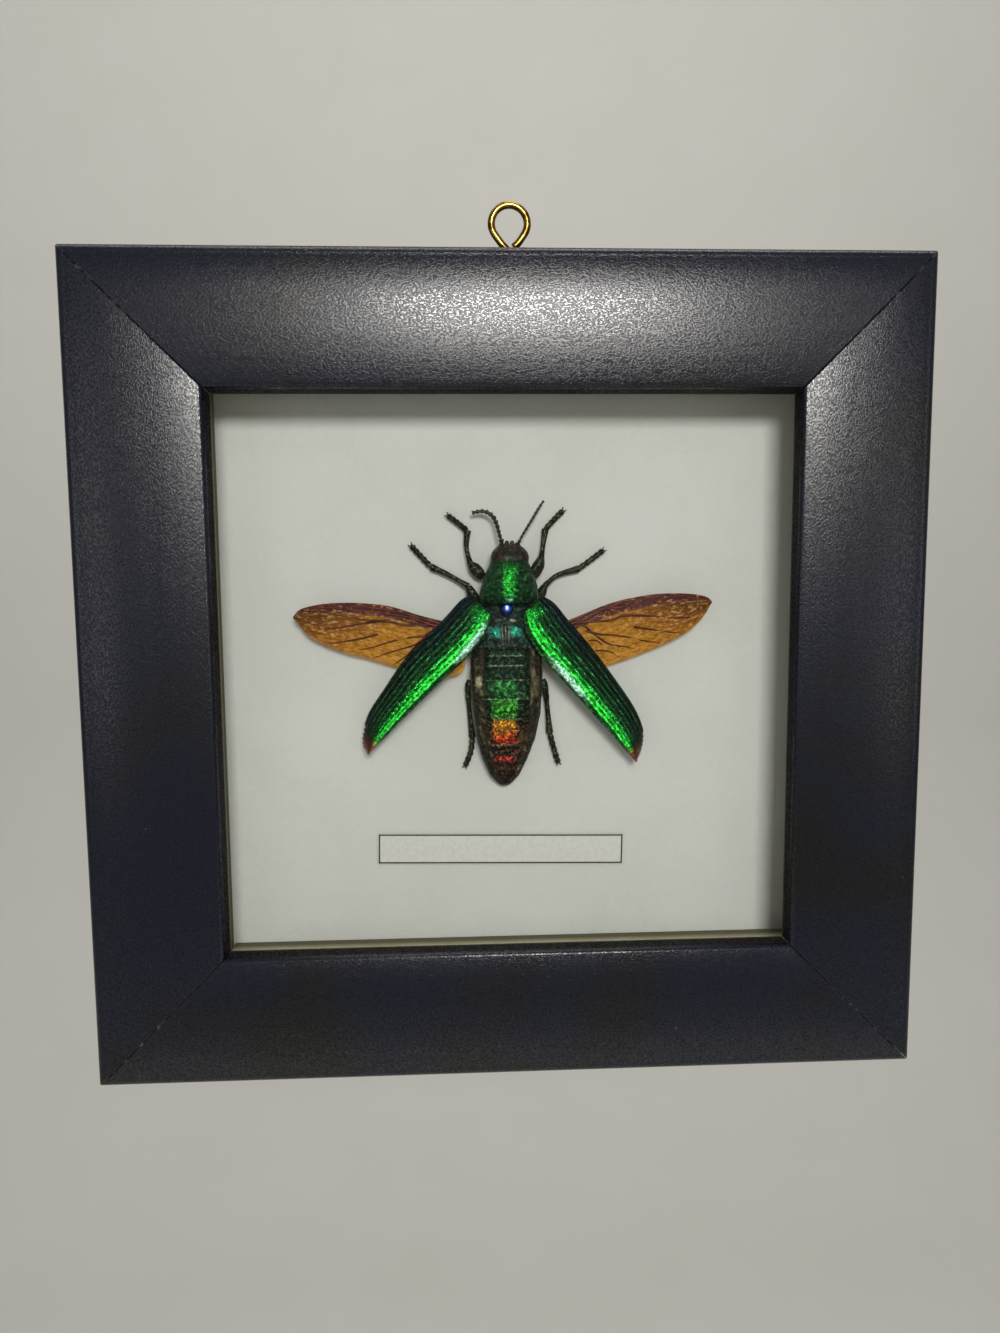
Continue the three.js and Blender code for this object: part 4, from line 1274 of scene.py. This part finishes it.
def leg(node):
    route = LEG_ROUTES[node]
    pair = node.split("_")[1]
    bm = new_shape()
    limb(bm, route[:3], THIGH_RADII[pair], 18, 24, 0.85)
    limb(bm, route[2:5], SHIN_RADII, 14, 30, 0.85)
    foot = curve([spot(*point) for point in route[4:]])
    for i in range(FOOT_JOINTS):
        a, b = foot(i / FOOT_JOINTS), foot((i + FOOT_JOINT_REACH) / FOOT_JOINTS)
        limb(bm, measured([a, (a + b) / 2, b]), FOOT_RADII, 12, 12, 0.7, profile=lobe)
    tip, before = foot(1.0), foot(0.9)
    ahead = (tip - before).normalized()
    side = Vector((-ahead.z, 0, ahead.x))
    for turn in (-1, 1):
        claw = [tip, tip + ahead * 0.4 + side * 0.35 * turn,
                tip + ahead * 0.65 + side * 0.3 * turn]
        limb(bm, measured(claw), CLAW_RADII, 8, 10)
    keep(bm, node, [LEG_SHELL], crease=60)


for name in LEG_ROUTES:
    leg(name)

# %% [markdown]
# The feelers are dark brown and jointed, and their outer joints are drawn out to one side like
# the teeth of a saw. The left one lies flat and shows them; the right one is seen on edge.

# %% Feelers
ANTENNA_ROUTES = {
    "antenna_left": ([[-0.4, 22.1, 3.2], [-0.9, 23.6, 3.2], [-1.4, 25.6, 3.0], [-2.1, 27.0, 2.7],
                      [-3.6, 27.8, 2.4], [-5.6, 27.5, 2.2]], 0.42),
    "antenna_right": ([[2.2, 22.0, 3.2], [2.9, 23.4, 3.2], [4.1, 25.3, 3.0], [5.1, 26.9, 2.7],
                       [6.0, 28.4, 2.4], [6.8, 29.5, 2.2]], 0.27),
}
ANTENNA_JOINTS = 11
ANTENNA_JOINT_REACH = 1.1


def antenna_shell():
    f = Finish("antenna_shell")
    colour = f.mix(f.step(f.noise(1.1, 3), 0.42, 0.6), "1c170c", "2e2610")
    return f.done(f.surface(colour, 0.32, 0.0, f.bump(f.noise(6, 3), 0.3, 0.04), gloss=0.25))


ANTENNA_SHELL = antenna_shell()


def saw_tooth(t):
    return lobe(t) - 0.25 * (1 - t)


def antenna(node):
    route, radius = ANTENNA_ROUTES[node]
    path = curve([spot(*point) for point in route])
    bm = new_shape()
    for i in range(ANTENNA_JOINTS):
        a, b = path(i / ANTENNA_JOINTS), path((i + ANTENNA_JOINT_REACH) / ANTENNA_JOINTS)
        grow = 1.15 if i == 0 else 0.8 + 0.3 * math.sin(math.pi * i / ANTENNA_JOINTS)
        limb(bm, measured([a, (a + b) / 2, b]), [radius * grow] * 3, 10, 12, 0.6,
             profile=saw_tooth)
    keep(bm, node, [ANTENNA_SHELL], crease=60)


for name in ANTENNA_ROUTES:
    antenna(name)
